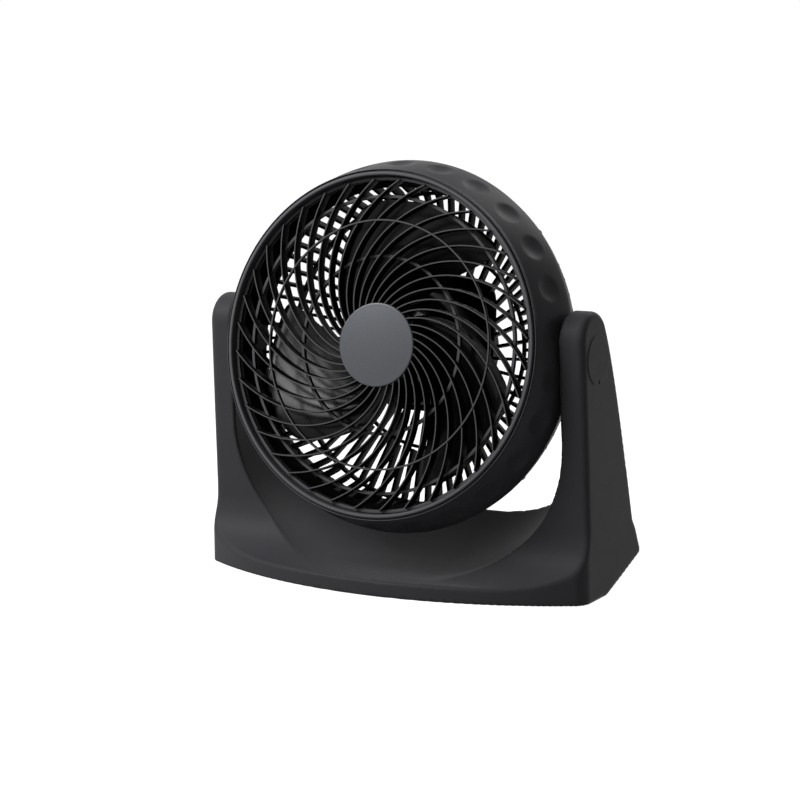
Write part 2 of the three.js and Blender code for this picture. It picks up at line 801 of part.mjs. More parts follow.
// One upright rib along an equiangular spiral, clockwise on its way out.
function spiralRib(start) {
  const slant = ribSlant;
  const from = ribStart;
  const to = grille.rimInner + sink;
  const rings = [];
  for (let k = 0; k <= ribs.steps; k++) {
    const r = from * (to / from) ** (k / ribs.steps);
    const angle = start + ribTurn(r);
    const side = angle - slant + Math.PI / 2;
    const [x, z] = onCircle(r, angle);
    const [dx, dz] = onCircle(ribs.width / 2, side);
    rings.push([
      new THREE.Vector3(x - dx, ribs.frontY, z - dz),
      new THREE.Vector3(x + dx, ribs.frontY, z + dz),
      new THREE.Vector3(x + dx, ribs.rearY, z + dz),
      new THREE.Vector3(x - dx, ribs.rearY, z - dz),
    ]);
  }
  return solid(lofted(rings, fourCorners));
}

function frontGrille() {
  const hub = turned([
    [0, grille.hubFloorY],
    [grille.hubRadius - grille.hubWall, grille.hubFloorY],
    [grille.hubRadius - grille.hubWall, grille.hubFrontY],
    [grille.hubRadius, grille.hubFrontY],
    [grille.hubRadius, grille.backY],
    [0, grille.backY],
  ], ribs.count);
  const rim = ring(grille.rimInner, grille.rimOuter, grille.rimFrontY, grille.backY, ribs.count);
  // A ring bends where it crosses the ribs.
  const tie = (r, width, front, back) => ring(r - width / 2, r + width / 2, front, back, ribs.count)
    .rotateY(-ribTurn(r));
  const frontY = ribs.frontY - grille.frontRingProud;
  const frontRing = tie(ringRadius(grille.frontRingShare), grille.frontRingWidth,
    frontY, frontY + grille.frontRingDepth);
  const backRings = grille.backRingShares.map((share) => tie(ringRadius(share), grille.backRingWidth,
    grille.backRingY, grille.backRingY + grille.backRingDepth));
  const spiral = [...Array(ribs.count).keys()].map((k) => spiralRib(radians((360 * k) / ribs.count)));
  return joined([...[hub, rim, frontRing, ...backRings].map(solid), ...spiral]);
}

function centreBadge() {
  const back = grille.hubFloorY - fit;
  return solid(turned([
    [0, back],
    [badge.radius - badge.edgeRound, back],
    [badge.radius, back - badge.edgeRound],
    [badge.radius, badge.edgeY],
    [badge.radius - badge.edgeRound, badge.edgeY - badge.edgeRound],
    [badge.radius / 2, (badge.edgeY + badge.crownY - badge.edgeRound) / 2 - badge.edgeRound / 2],
    [0, badge.crownY],
  ], (2 * ribs.count) / 3));
}

// The rear grille

const flangeY = shroud.rearY + fit;

// A rib of the bowl: from the flange to the hoop at the shoulder, or on to the motor plate.
function bowlRib(start, whole) {
  const all = [
    [rear.flangeInner + sink, flangeY + rear.ribInset, rear.ribEndDepth],
    [rear.shoulderRadius, rear.shoulderY, rear.ribDepth],
    [rear.plateRadius - sink, rear.plateY + rear.ribInset, rear.ribEndDepth],
  ];
  const stations = whole ? all : all.slice(0, 2);
  const inmost = all.at(-1)[0];
  const outmost = all[0][0];
  const rings = stations.map(([r, y, depth]) => {
    const share = Math.log(outmost / r) / Math.log(outmost / inmost);
    const angle = start - radians(rear.swirlDegrees) * share;
    const [x, z] = onCircle(r, angle);
    const [dx, dz] = onCircle(rear.ribWidth / 2, angle + Math.PI / 2);
    return [
      new THREE.Vector3(x - dx, y, z - dz),
      new THREE.Vector3(x + dx, y, z + dz),
      new THREE.Vector3(x, y + depth, z),
    ];
  });
  return solid(lofted(rings, [[0, 1, 2]]));
}

const postAngles = [45, 135, 225, 315].map(radians);
const coverAngles = [0, 180].map(radians);

function rearGrille() {
  const depth = rear.plateThickness;
  const flange = ring(rear.flangeInner, shroud.rearRadius,
    flangeY, flangeY + rear.flangeThickness, rear.ribCount / 2);
  const half = rear.ringWidth / 2;
  const shoulder = ring(rear.shoulderRadius - half, rear.shoulderRadius + half,
    rear.shoulderY - rear.hoopFront, rear.shoulderY + rear.ribDepth + rear.hoopBack, rear.ribCount / 2);
  const plate = bar(rear.plateRadius, rear.plateY, rear.plateY + depth, 0, 0, rear.ribCount / 2);
  const posts = postAngles.map((a) => bar(rear.postRadius, motorBack + fit, rear.plateY + sink,
    ...onCircle(rear.postCentre, a), 8));
  const lugs = shroudScrewAngles.map((a) => bar(shroud.bossRadius, flangeY, flangeY + rear.flangeThickness,
    ...onCircle(shroud.bossCentre, a), 8));
  const bowl = [...Array(rear.ribCount).keys()]
    .map((k) => bowlRib(radians((360 * k) / rear.ribCount), k % 2 === 0));
  const holes = [
    ...postAngles.map((a) => onCircle(rear.postCentre, a)),
    ...coverAngles.map((a) => onCircle(controlCover.bossCentre, a)),
    ...shroudScrewAngles.map((a) => onCircle(shroud.bossCentre, a)),
  ].map(([x, z]) => solid(bar(smallScrew.shankRadius + fit, 0, rear.plateY + overrun, x, z, 6)));
  const whole = joined([...[flange, shoulder, plate, ...posts, ...lugs].map(solid), ...bowl]);
  return cut(whole, holes);
}

// The motor

const motorFront = motor.coreStart - motor.bracketDepth;
const motorBack = motor.coreEnd + motor.bracketDepth;

// An end bracket: a shallow cup with a bearing boss. The front one faces forwards.
function bracket(way) {
  const outerEnd = way < 0 ? motorFront : motorBack;
  const core = (way < 0 ? motor.coreStart : motor.coreEnd) + way * fit;
  const floor = outerEnd - way * motor.bracketWall;
  const cup = solid(turned([
    [motor.bearingRadius + fit, outerEnd],
    [motor.radius, outerEnd],
    [motor.radius, core],
    [motor.radius - motor.bracketWall, core],
    [motor.radius - motor.bracketWall, floor],
    [motor.bossRadius, floor],
    [motor.bossRadius, outerEnd - way * motor.bossDepth],
    [motor.bearingRadius + fit, outerEnd - way * motor.bossDepth],
  ], 16));
  if (way < 0) return cup;
  const holes = postAngles.map((a) => solid(bar(smallScrew.shankRadius + fit, core, motorBack + overrun,
    ...onCircle(rear.postCentre, a), 6)));
  return cut(cup, holes);
}

function bearing(way) {
  const end = way < 0 ? motorFront : motorBack;
  const start = end - way * motor.bossDepth;
  return solid(ring(motor.shaftRadius + fit, motor.bearingRadius,
    Math.min(start, end), Math.max(start, end), 16));
}

const slotAngles = [...Array(motor.slotCount).keys()].map((k) => radians((360 * k) / motor.slotCount));

function statorCore() {
  const stack = solid(ring(motor.coreBore, motor.radius, motor.coreStart, motor.coreEnd, 20));
  const slots = slotAngles
    .map((a) => solid(bar(motor.slotRadius, 0, motorBack, ...onCircle(motor.slotCentre, a), 6)));
  return cut(stack, slots);
}

// Two end turns joined by the bundles that pass through the slots.
function statorWinding() {
  const front = motor.coreStart - fit;
  const back = motor.coreEnd + fit;
  const ends = [[front - motor.windingDepth, front], [back, back + motor.windingDepth]]
    .map(([from, to]) => solid(ring(motor.windingInner, motor.windingOuter, from, to, 12)));
  const bundles = slotAngles.map((a) => solid(
    bar(motor.slotRadius - fit, front - sink, back + sink, ...onCircle(motor.slotCentre, a), 6),
  ));
  return joined([...ends, ...bundles]);
}

function rotorCore() {
  return solid(ring(motor.shaftRadius + fit, motor.rotorRadius, motor.coreStart, motor.coreEnd, 24));
}

function motorShaft() {
  const shaftFront = fan.hubFront - nut.depth / 2;
  return solid(bar(motor.shaftRadius, shaftFront, motorBack - motor.bracketWall / 2, 0, 0, 16));
}

function cupOverMotor() {
  const back = rear.plateY - fit;
  const inner = motorCover.radius - motorCover.wall;
  const front = motorCover.frontY;
  return solid(turned([
    [motorCover.hole, front],
    [motorCover.radius - motorCover.round, front],
    [motorCover.radius, front + motorCover.round],
    [motorCover.radius, back],
    [inner, back],
    [inner, front + motorCover.round],
    [inner - motorCover.round + motorCover.wall, front + motorCover.wall],
    [motorCover.hole, front + motorCover.wall],
  ], 24));
}

// The control cover at the back

const coverFront = rear.plateY + rear.plateThickness + fit;
const coverBack = coverFront + controlCover.depth;
const coverFace = coverBack - controlCover.wall;

function capOverControls() {
  const { radius, round, spindleHole } = controlCover;
  const inner = radius - controlCover.wall;
  const shell = solid(turned([
    [radius, coverFront],
    [radius, coverBack - round],
    [radius - round / 3, coverBack - round / 3],
    [radius - round, coverBack],
    [spindleHole, coverBack],
    [spindleHole, coverFace],
    [inner - round, coverFace],
    [inner, coverFace - round],
    [inner, coverFront],
  ], 24));
  const bosses = coverAngles.map((a) => solid(bar(controlCover.bossRadius, coverFront, coverFace + sink,
    ...onCircle(controlCover.bossCentre, a), 8)));
  const neckHole = solid(bar(speedSwitch.neck / 2 + fit, coverFront, coverBack + overrun, 0, 0, 16));
  const wells = coverAngles.flatMap((a) => [
    solid(bar(controlCover.well, coverBack - controlCover.wellDepth, coverBack + overrun,
      ...onCircle(controlCover.bossCentre, a), 8)),
    solid(bar(smallScrew.shankRadius + fit, 0, coverBack, ...onCircle(controlCover.bossCentre, a), 6)),
  ]);
  const glandHole = solid(upright(bar(gland.neck + fit, 0, radius + overrun, 0, 0, 16))
    .translate(0, glandY, -radius - overrun));
  return cut(shell.add(joined(bosses)), [neckHole, ...wells, glandHole]);
}

const switchBack = coverFace - fit;

function switchBody() {
  const box = new THREE.BoxGeometry(speedSwitch.width, speedSwitch.depth, speedSwitch.height);
  box.translate(0, switchBack - speedSwitch.depth / 2, 0);
  const neckEnd = switchBack + speedSwitch.neckLength;
  const neck = bar(speedSwitch.neck / 2, switchBack - sink, neckEnd, 0, 0, 16);
  const bore = bar(spindle.radius + fit, switchBack - speedSwitch.depth / 2, neckEnd + overrun, 0, 0, 12);
  return cut(solid(box).add(solid(neck)), [solid(bore)]);
}

const spindleFront = switchBack - speedSwitch.depth / 2 + fit;
const knobFront = switchBack + speedSwitch.neckLength + fit;

function switchSpindle() {
  return solid(bar(spindle.radius, spindleFront, spindleFront + spindle.length - sink, 0, 0, 12));
}

// A fluted grip with a skirt and a raised pointer, hollow where the spindle goes in.
function speedKnob() {
  const back = knobFront + knob.depth;
  const body = solid(turned([
    [spindle.radius + fit, knobFront],
    [knob.skirt, knobFront],
    [knob.skirt, knobFront + knob.skirtDepth],
    [knob.radius, knobFront + knob.skirtDepth],
    [knob.radius - knob.gripRadius, back - knob.gripRadius],
    [knob.radius - 2 * knob.gripRadius, back],
    [0, back],
    [0, spindleFront + spindle.length],
    [spindle.radius + fit, spindleFront + spindle.length],
  ], knob.grips));
  const flutes = [...Array(knob.grips).keys()].map((k) => solid(bar(
    knob.gripRadius / 2,
    knobFront + knob.skirtDepth + knob.gripRadius,
    back + overrun,
    ...onCircle(knob.radius, radians((360 * k) / knob.grips)),
    4,
  )));
  const pointer = new THREE.BoxGeometry(knob.pointer, knob.pointer, knob.radius - knob.gripRadius * 2);
  pointer.translate(0, back, (knob.radius - knob.gripRadius * 2) / 2);
  return cut(body, flutes).add(solid(pointer));
}

const glandY = coverFront + controlCover.depth / 2 - controlCover.wall;

// The bush where the supply cord would enter.
function cordGland() {
  const seat = controlCover.radius + fit;
  const body = turned([
    [gland.bore, seat - gland.neckLength],
    [gland.neck, seat - gland.neckLength],
    [gland.neck, seat],
    [gland.flange, seat],
    [gland.neck, seat + gland.flangeDepth],
    [gland.bore, seat + gland.flangeDepth],
  ], 16);
  return solid(body.rotateX(radians(-90)).translate(0, glandY, 0));
}

// The fan blade and its nut

// A wide swept blade: sections round the axis, from the trailing edge at the front to the leading
// edge at the rear, thinner towards both edges.
function blade(start) {
  const rings = [];
  const inner = fan.hubFrontRadius - sink;
  for (let s = 0; s <= fan.radialSteps; s++) {
    const out = s / fan.radialSteps;
    const r = inner + (fan.tipRadius - inner) * out;
    const span = radians(fan.rootSpanDegrees + (fan.tipSpanDegrees - fan.rootSpanDegrees) * out);
    const middle = start + radians(fan.sweepDegrees) * out * out;
    const roundTip = 1 - fan.tipTuckShare * out ** fan.tipTuckPower;
    const rearY = fan.rearRootY + (fan.rearTipY - fan.rearRootY) * out;
    const face = [];
    const back = [];
    for (let k = 0; k <= fan.chordSteps; k++) {
      const share = k / fan.chordSteps;
      const angle = middle + span * roundTip * (share - 1 / 2);
      const y = rearY + (fan.frontY - rearY) * Math.sin((share * Math.PI) / 2) ** fan.archPower;
      const bulge = Math.sin(share * Math.PI);
      const half = (fan.edgeThickness + (fan.thickness - fan.edgeThickness) * bulge) / 2;
      const [x, z] = onCircle(r, angle);
      face.push(new THREE.Vector3(x, y - half, z));
      back.push(new THREE.Vector3(x, y + half, z));
    }
    rings.push([...face, ...back.reverse()]);
  }
  const ends = [];
  const last = 2 * fan.chordSteps + 1;
  for (let k = 0; k < fan.chordSteps; k++) {
    ends.push([k, k + 1, last - k - 1], [k, last - k - 1, last - k]);
  }
  return solid(lofted(rings, ends));
}

function fanBlade() {
  const inside = fan.hubFront + fan.hubWall;
  const bore = motor.shaftRadius + fit;
  const hub = solid(turned([
    [bore, fan.hubFront],
    [fan.hubFrontRadius - fan.hubRound, fan.hubFront],
    [fan.hubFrontRadius, fan.hubFront + fan.hubRound],
    [fan.hubRadius, fan.hubRear],
    [fan.hubRadius - fan.hubWall, fan.hubRear],
    [fan.hubFrontRadius - fan.hubWall, inside + fan.hubRound],
    [fan.hubFrontRadius - fan.hubRound, inside],
    [fan.bossRadius, inside],
    [fan.bossRadius, fan.hubRear],
    [bore, fan.hubRear],
  ], 24));
  const core = solid(bar(fan.hubFrontRadius - fan.hubWall, fan.hubFront, fan.hubRear + overrun, 0, 0, 24));
  const blades = [...Array(fan.bladeCount).keys()]
    .map((k) => blade(radians(fan.phaseDegrees + (360 * k) / fan.bladeCount)).subtract(core));
  return joined([hub, ...blades]);
}

function bladeNut() {
  const seat = fan.hubFront - fit;
  return solid(turned([
    [0, seat - nut.depth / 2 - sink],
    [motor.shaftRadius + fit, seat - nut.depth / 2 - sink],
    [motor.shaftRadius + fit, seat],
    [nut.radius, seat],
    [nut.radius, seat - nut.depth / 2],
    [nut.tip, seat - nut.depth],
    [0, seat - nut.depth],
  ], 16));
}

// Small screws of the head, all driven in from the back

function rearScrew(seat, length, [x, z]) {
  const body = screw(smallScrew.headRadius, smallScrew.headHeight, smallScrew.shankRadius, length);
  return solid(body.translate(x, seat + fit, z));
}

// Assembly

function piece(name, body, color, roughness, metalness = 0) {
  const material = new THREE.MeshStandardMaterial({ color, roughness, metalness });
  const mesh = body.isMesh ? body : new THREE.Mesh(geometryOf(body));
  mesh.material = material;
  mesh.name = name;
  return mesh;
}

const standGroup = new THREE.Group();
standGroup.add(piece('base_shell', baseShell(), plastic, 0.55));
standGroup.add(piece('base_bottom_plate', basePlate(), dark, 0.6));
for (const spot of footSpots) standGroup.add(piece(`foot_${spot[0]}`, rubberFoot(spot), rubber, 0.9));
for (const spot of screwSpots) {
  standGroup.add(piece(`base_screw_${spot[0]}`, baseScrew(spot), steel, 0.35, 1));
}
for (const [name, side] of [['left', -1], ['right', 1]]) {
  standGroup.add(piece(`pivot_screw_${name}`, pivotScrew(side), steel, 0.35, 1));
  standGroup.add(piece(`pivot_washer_${name}`, pivotWasher(side), dark, 0.5));
  standGroup.add(piece(`pivot_cap_${name}`, pivotCap(side), plastic, 0.5));
}

const headGroup = new THREE.Group();
headGroup.position.set(0, pivot.y, pivot.z);
headGroup.rotation.x = -radians(headTiltDegrees);
headGroup.add(piece('shroud_ring', shroudRing(), plastic, 0.5));
headGroup.add(piece('front_grille', frontGrille(), plastic, 0.45));
headGroup.add(piece('centre_badge', centreBadge(), satin, 0.45));
headGroup.add(piece('rear_grille', rearGrille(), dark, 0.5));
headGroup.add(piece('motor_cover', cupOverMotor(), dark, 0.5));
headGroup.add(piece('control_cover', capOverControls(), plastic, 0.5));
headGroup.add(piece('motor_bracket_front', bracket(-1), steel, 0.4, 1));
headGroup.add(piece('motor_bracket_rear', bracket(1), steel, 0.4, 1));
headGroup.add(piece('bearing_front', bearing(-1), bronze, 0.4, 1));
headGroup.add(piece('bearing_rear', bearing(1), bronze, 0.4, 1));
headGroup.add(piece('stator_core', statorCore(), steel, 0.5, 1));
headGroup.add(piece('stator_winding', statorWinding(), copper, 0.4, 1));
headGroup.add(piece('speed_switch', switchBody(), dark, 0.6));
headGroup.add(piece('cord_gland', cordGland(), rubber, 0.7));

const flangeBack = flangeY + rear.flangeThickness;
shroudScrewAngles.forEach((a, k) => headGroup.add(piece(`shroud_screw_${k + 1}`,
  rearScrew(flangeBack, rear.flangeThickness + shroud.bossLength / 3,
    onCircle(shroud.bossCentre, a)), steel, 0.35, 1)));
postAngles.forEach((a, k) => headGroup.add(piece(`motor_screw_${k + 1}`,
  rearScrew(rear.plateY + rear.plateThickness, coverFront - motorBack + motor.bracketWall / 2,
    onCircle(rear.postCentre, a)), steel, 0.35, 1)));
coverAngles.forEach((a, k) => headGroup.add(piece(`cover_screw_${k + 1}`,
  rearScrew(coverBack - controlCover.wellDepth, coverBack - controlCover.wellDepth - rear.plateY,
    onCircle(controlCover.bossCentre, a)), steel, 0.35, 1)));

const rotorGroup = new THREE.Group();
rotorGroup.add(piece('fan_blade', fanBlade(), dark, 0.35));
rotorGroup.add(piece('blade_nut', bladeNut(), dark, 0.4));
rotorGroup.add(piece('motor_shaft', motorShaft(), steel, 0.25, 1));
rotorGroup.add(piece('rotor_core', rotorCore(), steel, 0.5, 1));
headGroup.add(rotorGroup);

const knobGroup = new THREE.Group();
knobGroup.add(piece('speed_knob', speedKnob(), plastic, 0.5));
knobGroup.add(piece('switch_spindle', switchSpindle(), steel, 0.3, 1));
headGroup.add(knobGroup);

// The origin lies under the middle of the whole fan, on the surface that it stands on.
const product = new THREE.Group();
product.add(standGroup, headGroup);
product.updateMatrixWorld(true);
const middle = new THREE.Box3().setFromObject(product, true).getCenter(new THREE.Vector3());
product.position.set(-middle.x, -middle.y, 0);

export default product;
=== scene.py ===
"""Looks of a table-top high velocity fan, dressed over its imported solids.

Points are worked out in millimetres. The head's own frame has its origin between the pivots and its +Y along
the blade's axis, towards the rear; the row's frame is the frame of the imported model.
"""

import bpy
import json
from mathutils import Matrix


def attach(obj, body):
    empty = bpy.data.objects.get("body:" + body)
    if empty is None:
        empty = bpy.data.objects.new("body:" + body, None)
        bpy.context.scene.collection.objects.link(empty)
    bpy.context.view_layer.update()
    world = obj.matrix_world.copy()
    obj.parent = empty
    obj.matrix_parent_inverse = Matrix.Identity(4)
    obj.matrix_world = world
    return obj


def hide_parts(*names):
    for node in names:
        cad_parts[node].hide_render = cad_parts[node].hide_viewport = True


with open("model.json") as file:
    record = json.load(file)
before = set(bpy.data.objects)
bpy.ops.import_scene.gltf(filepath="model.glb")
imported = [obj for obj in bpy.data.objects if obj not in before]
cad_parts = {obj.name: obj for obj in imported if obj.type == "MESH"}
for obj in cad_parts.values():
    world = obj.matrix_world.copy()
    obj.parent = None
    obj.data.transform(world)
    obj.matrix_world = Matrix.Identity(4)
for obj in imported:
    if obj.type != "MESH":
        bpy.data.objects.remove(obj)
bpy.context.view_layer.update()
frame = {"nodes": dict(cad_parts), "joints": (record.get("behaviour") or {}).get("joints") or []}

import json

import bmesh
import bpy
import numpy as np

# Camera
# The photograph looks at the fan from the front right, a little above the pivots, through a long lens.
camera_azimuth, camera_elevation = np.radians([28.62, 8.41])
camera_target = np.array([-0.00595, -0.00797, 0.14412])
camera_distance = 1.7
focal_pixels, image_pixels, sensor_width = 2102.83, 800, 36
camera_back = np.array([
    np.sin(camera_azimuth) * np.cos(camera_elevation),
    -np.cos(camera_azimuth) * np.cos(camera_elevation),
    np.sin(camera_elevation),
])
camera = bpy.data.objects.new("photo_camera", bpy.data.cameras.new("photo_camera"))
camera.data.sensor_width = sensor_width
camera.data.lens = sensor_width * focal_pixels / image_pixels
camera.location = camera_target + camera_back * camera_distance
camera.rotation_euler = (np.pi / 2 - camera_elevation, 0, camera_azimuth)
bpy.context.scene.collection.objects.link(camera)
bpy.context.scene.camera = camera
bpy.context.scene.view_settings.view_transform = "Standard"


# Light, backdrop and floor
# A white studio tent: the surround shows white and lights evenly, and a soft lamp from the upper left with
# a faint one from behind gives the forms their shade. The floor is white paper that keeps a faint shadow.
def node(tree, kind, inputs=(), **settings):
    """Adds one shader node with its settings; each input takes a value or a link from another's socket."""
    made = tree.nodes.new(kind)
    for key, value in settings.items():
        setattr(made, key, value)
    for key, value in dict(inputs).items():
        if isinstance(value, bpy.types.NodeSocket):
            tree.links.new(value, made.inputs[key])
        else:
            made.inputs[key].default_value = value
    return made


def new_material(name):
    """A material with an empty node tree, and that tree."""
    made = bpy.data.materials.new(name)
    made.use_nodes = True
    made.node_tree.nodes.clear()
    return made, made.node_tree


def linear(colour):
    """A hex colour as written for a screen, turned to linear light: below 0.04045 a straight line, above
    it a power."""
    screen = np.array([int(colour[k:k + 2], 16) for k in (1, 3, 5)]) / 255
    light = np.where(screen <= 0.04045, screen / 12.92, ((screen + 0.055) / 1.055) ** 2.4)
    return (*light, 1.0)


def seen_directly(tree):
    """One where a ray comes from the camera, a mirror or a pane, and nought for rays that light the
    object."""
    path = node(tree, "ShaderNodeLightPath")
    mirror_or_camera = node(tree, "ShaderNodeMath", {
        0: path.outputs["Is Camera Ray"], 1: path.outputs["Is Glossy Ray"]}, operation="MAXIMUM")
    any_of_three = node(tree, "ShaderNodeMath", {
        0: mirror_or_camera.outputs[0], 1: path.outputs["Is Transmission Ray"]}, operation="MAXIMUM")
    return any_of_three.outputs[0]


tent_lighting, tent_shown = 0.22, 1.0
world = bpy.data.worlds.new("studio_tent")
world.use_nodes = True
tent_tree = world.node_tree
tent_tree.nodes.clear()
tent_light = node(tent_tree, "ShaderNodeBackground", {"Color": linear("#ffffff"), "Strength": tent_lighting})
tent_white = node(tent_tree, "ShaderNodeBackground", {"Color": linear("#ffffff"), "Strength": tent_shown})
tent = node(tent_tree, "ShaderNodeMixShader", {
    0: seen_directly(tent_tree), 1: tent_light.outputs[0], 2: tent_white.outputs[0]})
node(tent_tree, "ShaderNodeOutputWorld", {"Surface": tent.outputs[0]})
bpy.context.scene.world = world

lamp_aim = np.array([0, 0, 0.17])
for lamp_name, place, size, power in (
    ("lamp_left", (-0.7, -0.78, 0.98), 0.7, 21),
    ("lamp_back", (0.3, 1.1, 1.2), 0.8, 6),
):
    lamp = bpy.data.objects.new(lamp_name, bpy.data.lights.new(lamp_name, "AREA"))
    lamp.data.size = size
    lamp.data.energy = power
    lamp.location = place
    towards = lamp_aim - np.array(place)
    pitch = np.arctan2(np.hypot(*towards[:2]), -towards[2])
    lamp.rotation_euler = (pitch, 0, np.arctan2(towards[1], towards[0]) - np.pi / 2)
    bpy.context.scene.collection.objects.link(lamp)

floor_half, paper_glow = 12.0, 0.985
floor_corners = [(x * floor_half, y * floor_half, 0) for x, y in ((-1, -1), (1, -1), (1, 1), (-1, 1))]
floor_mesh = bpy.data.meshes.new("floor")
floor_mesh.from_pydata(floor_corners, [], [(0, 1, 2, 3)])
floor = bpy.data.objects.new("floor", floor_mesh)
floor_paper, paper_tree = new_material("white_paper")
paper_light = node(paper_tree, "ShaderNodeBsdfDiffuse", {"Color": linear("#9c9c9c")})
paper_shade = node(paper_tree, "ShaderNodeBsdfDiffuse", {"Color": linear("#8c8c8c")})
paper_white = node(paper_tree, "ShaderNodeEmission", {"Color": linear("#ffffff"), "Strength": paper_glow})
paper_faint = node(paper_tree, "ShaderNodeAddShader", {0: paper_shade.outputs[0], 1: paper_white.outputs[0]})
paper = node(paper_tree, "ShaderNodeMixShader", {
    0: seen_directly(paper_tree), 1: paper_light.outputs[0], 2: paper_faint.outputs[0]})
node(paper_tree, "ShaderNodeOutputMaterial", {"Surface": paper.outputs[0]})
floor_mesh.materials.append(floor_paper)
bpy.context.scene.collection.objects.link(floor)


# The stand
# One injection moulding of charcoal ABS with a fine spark-eroded grain: a long shelf with a bowed fascia,
# two tapering arms that rise from it through a cove, and a scoop between them that the head swings in.
def spread(tree, cloud, middle, reach):
    """Swings by the reach either side of the middle, as a noise goes over the range that it mostly keeps
    to."""
    usual_low, usual_high = 0.3, 0.7
    return node(tree, "ShaderNodeMapRange", {
        0: cloud.outputs[0], 1: usual_low, 2: usual_high, 3: middle - reach, 4: middle + reach}).outputs[0]


def moulded_plastic(name, dark, light, roughness, shine, grain=1.1, relief=0.03, unevenness=0.06,
                    painted_highlight=None, facing=(0, -1, 0)):
    """A moulded thermoplastic: colour wanders between two hexes over a few centimetres, as flow and
    handling leave it, and the mould's grain, in millimetres, roughens the surface. Shine is its specular
    level. Faces that look the facing way may be painted another colour as a highlight, mixed in as the
    cosine to that way nears one."""
    made, tree = new_material(name)
    where = node(tree, "ShaderNodeTexCoord")
    place = where.outputs["Object"]
    flow = node(tree, "ShaderNodeTexNoise", {
        "Vector": place, "Scale": 28.0, "Detail": 3.0, "Roughness": 0.5})
    colour = node(tree, "ShaderNodeMix", {0: flow.outputs[0], 6: linear(dark), 7: linear(light)},
                  data_type="RGBA")
    if painted_highlight:
        # Faces that look the facing way take the lighter colour: a painted highlight.
        highlight_start, highlight_full = 0.75, 0.95
        cosine = node(tree, "ShaderNodeVectorMath", {0: where.outputs["Normal"], 1: facing},
                      operation="DOT_PRODUCT")
        highlight_share = node(tree, "ShaderNodeMapRange", {0: cosine.outputs["Value"], 1: highlight_start, 2: highlight_full})
        colour = node(tree, "ShaderNodeMix", {0: highlight_share.outputs[0], 6: colour.outputs[2], 7: linear(painted_highlight)},
                      data_type="RGBA")
    cloud = node(tree, "ShaderNodeTexNoise", {
        "Vector": place, "Scale": 90.0, "Detail": 4.0, "Roughness": 0.6})
    pits = node(tree, "ShaderNodeTexNoise", {
        "Vector": place, "Scale": 1000 / grain, "Detail": 2.0, "Roughness": 0.55})
    bump = node(tree, "ShaderNodeBump", {
        "Height": pits.outputs[0], "Strength": 0.35, "Distance": relief / 1000})
    shader = node(tree, "ShaderNodeBsdfPrincipled", {
        "Base Color": colour.outputs[2], "Roughness": spread(tree, cloud, roughness, unevenness),
        "Normal": bump.outputs[0], "Specular IOR Level": shine, "IOR": 1.5})
    node(tree, "ShaderNodeOutputMaterial", {"Surface": shader.outputs[0]})
    return made


def mesh_piece(name, points, faces, material, sharp_degrees=40):
    """One object from points in millimetres: doubled points at seams and poles are merged, faces turned
    outwards, and edges that bend more than the given angle stay sharp."""
    mesh = bpy.data.meshes.new(name)
    mesh.from_pydata(np.asarray(points) / 1000, [], np.asarray(faces).tolist())
    shell = bmesh.new()
    shell.from_mesh(mesh)
    bmesh.ops.remove_doubles(shell, verts=shell.verts, dist=2e-6)
    bmesh.ops.dissolve_degenerate(shell, edges=shell.edges, dist=1e-7)
    bmesh.ops.recalc_face_normals(shell, faces=shell.faces)
    shell.to_mesh(mesh)
    shell.free()
    mesh.shade_smooth()
    mesh.set_sharp_from_angle(angle=np.radians(sharp_degrees))
    mesh.materials.append(material)
    made = bpy.data.objects.new(name, mesh)
    bpy.context.scene.collection.objects.link(made)
    return made


def skin(distance, low, high, step):
    """The surface of a solid that is given by a distance function, as points and quads. Each cell of a
    grid that the surface crosses gets a point at the mean of its crossings, which then slides down the
    slope of the distance on to the surface; each grid edge that it crosses gets a quad through the four
    cells round it."""
    axes = [np.arange(a, b + step, step) for a, b in zip(low, high)]
    field = distance(*np.meshgrid(*axes, indexing="ij", sparse=True))
    inside = field < 0
    shifts = np.array([(i, j, k) for i in (0, 1) for j in (0, 1) for k in (0, 1)])
    cells = np.array(field.shape) - 1
    filled = sum(inside[i:i + cells[0], j:j + cells[1], k:k + cells[2]].astype(int) for i, j, k in shifts)
    active = np.argwhere((filled > 0) & (filled < len(shifts)))
    number = np.full(cells, -1)
    number[tuple(active.T)] = np.arange(len(active))
    values = np.stack([field[tuple((active + shift).T)] for shift in shifts], axis=1)
    pairs = [(a, b) for a in range(8) for b in range(a + 1, 8) if abs(shifts[a] - shifts[b]).sum() == 1]
    total, crossings = np.zeros((len(active), 3)), np.zeros(len(active))
    for a, b in pairs:
        first, second = values[:, a], values[:, b]
        crosses = (first < 0) != (second < 0)
        share = np.where(crosses, first / np.where(crosses, first - second, 1), 0)
        total += crosses[:, None] * (shifts[a] + share[:, None] * (shifts[b] - shifts[a]))
        crossings += crosses
    points = np.array(low) + step * (active + total / crossings[:, None])
    faces = []
    for axis in range(3):
        u, v = np.eye(3, dtype=int)[(axis + 1) % 3], np.eye(3, dtype=int)[(axis + 2) % 3]
        start = np.moveaxis(inside, axis, 0)[:-1]
        end = np.moveaxis(inside, axis, 0)[1:]
        edges = np.argwhere(np.moveaxis(start != end, 0, axis))
        solid_first = inside[tuple(edges.T)]
        round_edge = np.stack([number[tuple((edges - back).T)] for back in (u + v, v, 0 * u, u)], axis=1)
        faces.append(np.where(solid_first[:, None], round_edge, round_edge[:, ::-1]))
    slides, nudge, least_slope = 4, step / 50, 0.3
    for _ in range(slides):
        here = distance(*points.T)
        ahead = [distance(*(points + nudge * side).T) for side in np.eye(3)]
        slope = (np.stack(ahead, axis=1) - here[:, None]) / nudge
        move = here[:, None] * slope / np.maximum((slope ** 2).sum(axis=1), least_slope)[:, None]
        points -= np.clip(move, -step / 2, step / 2)
    return points, np.vstack(faces)


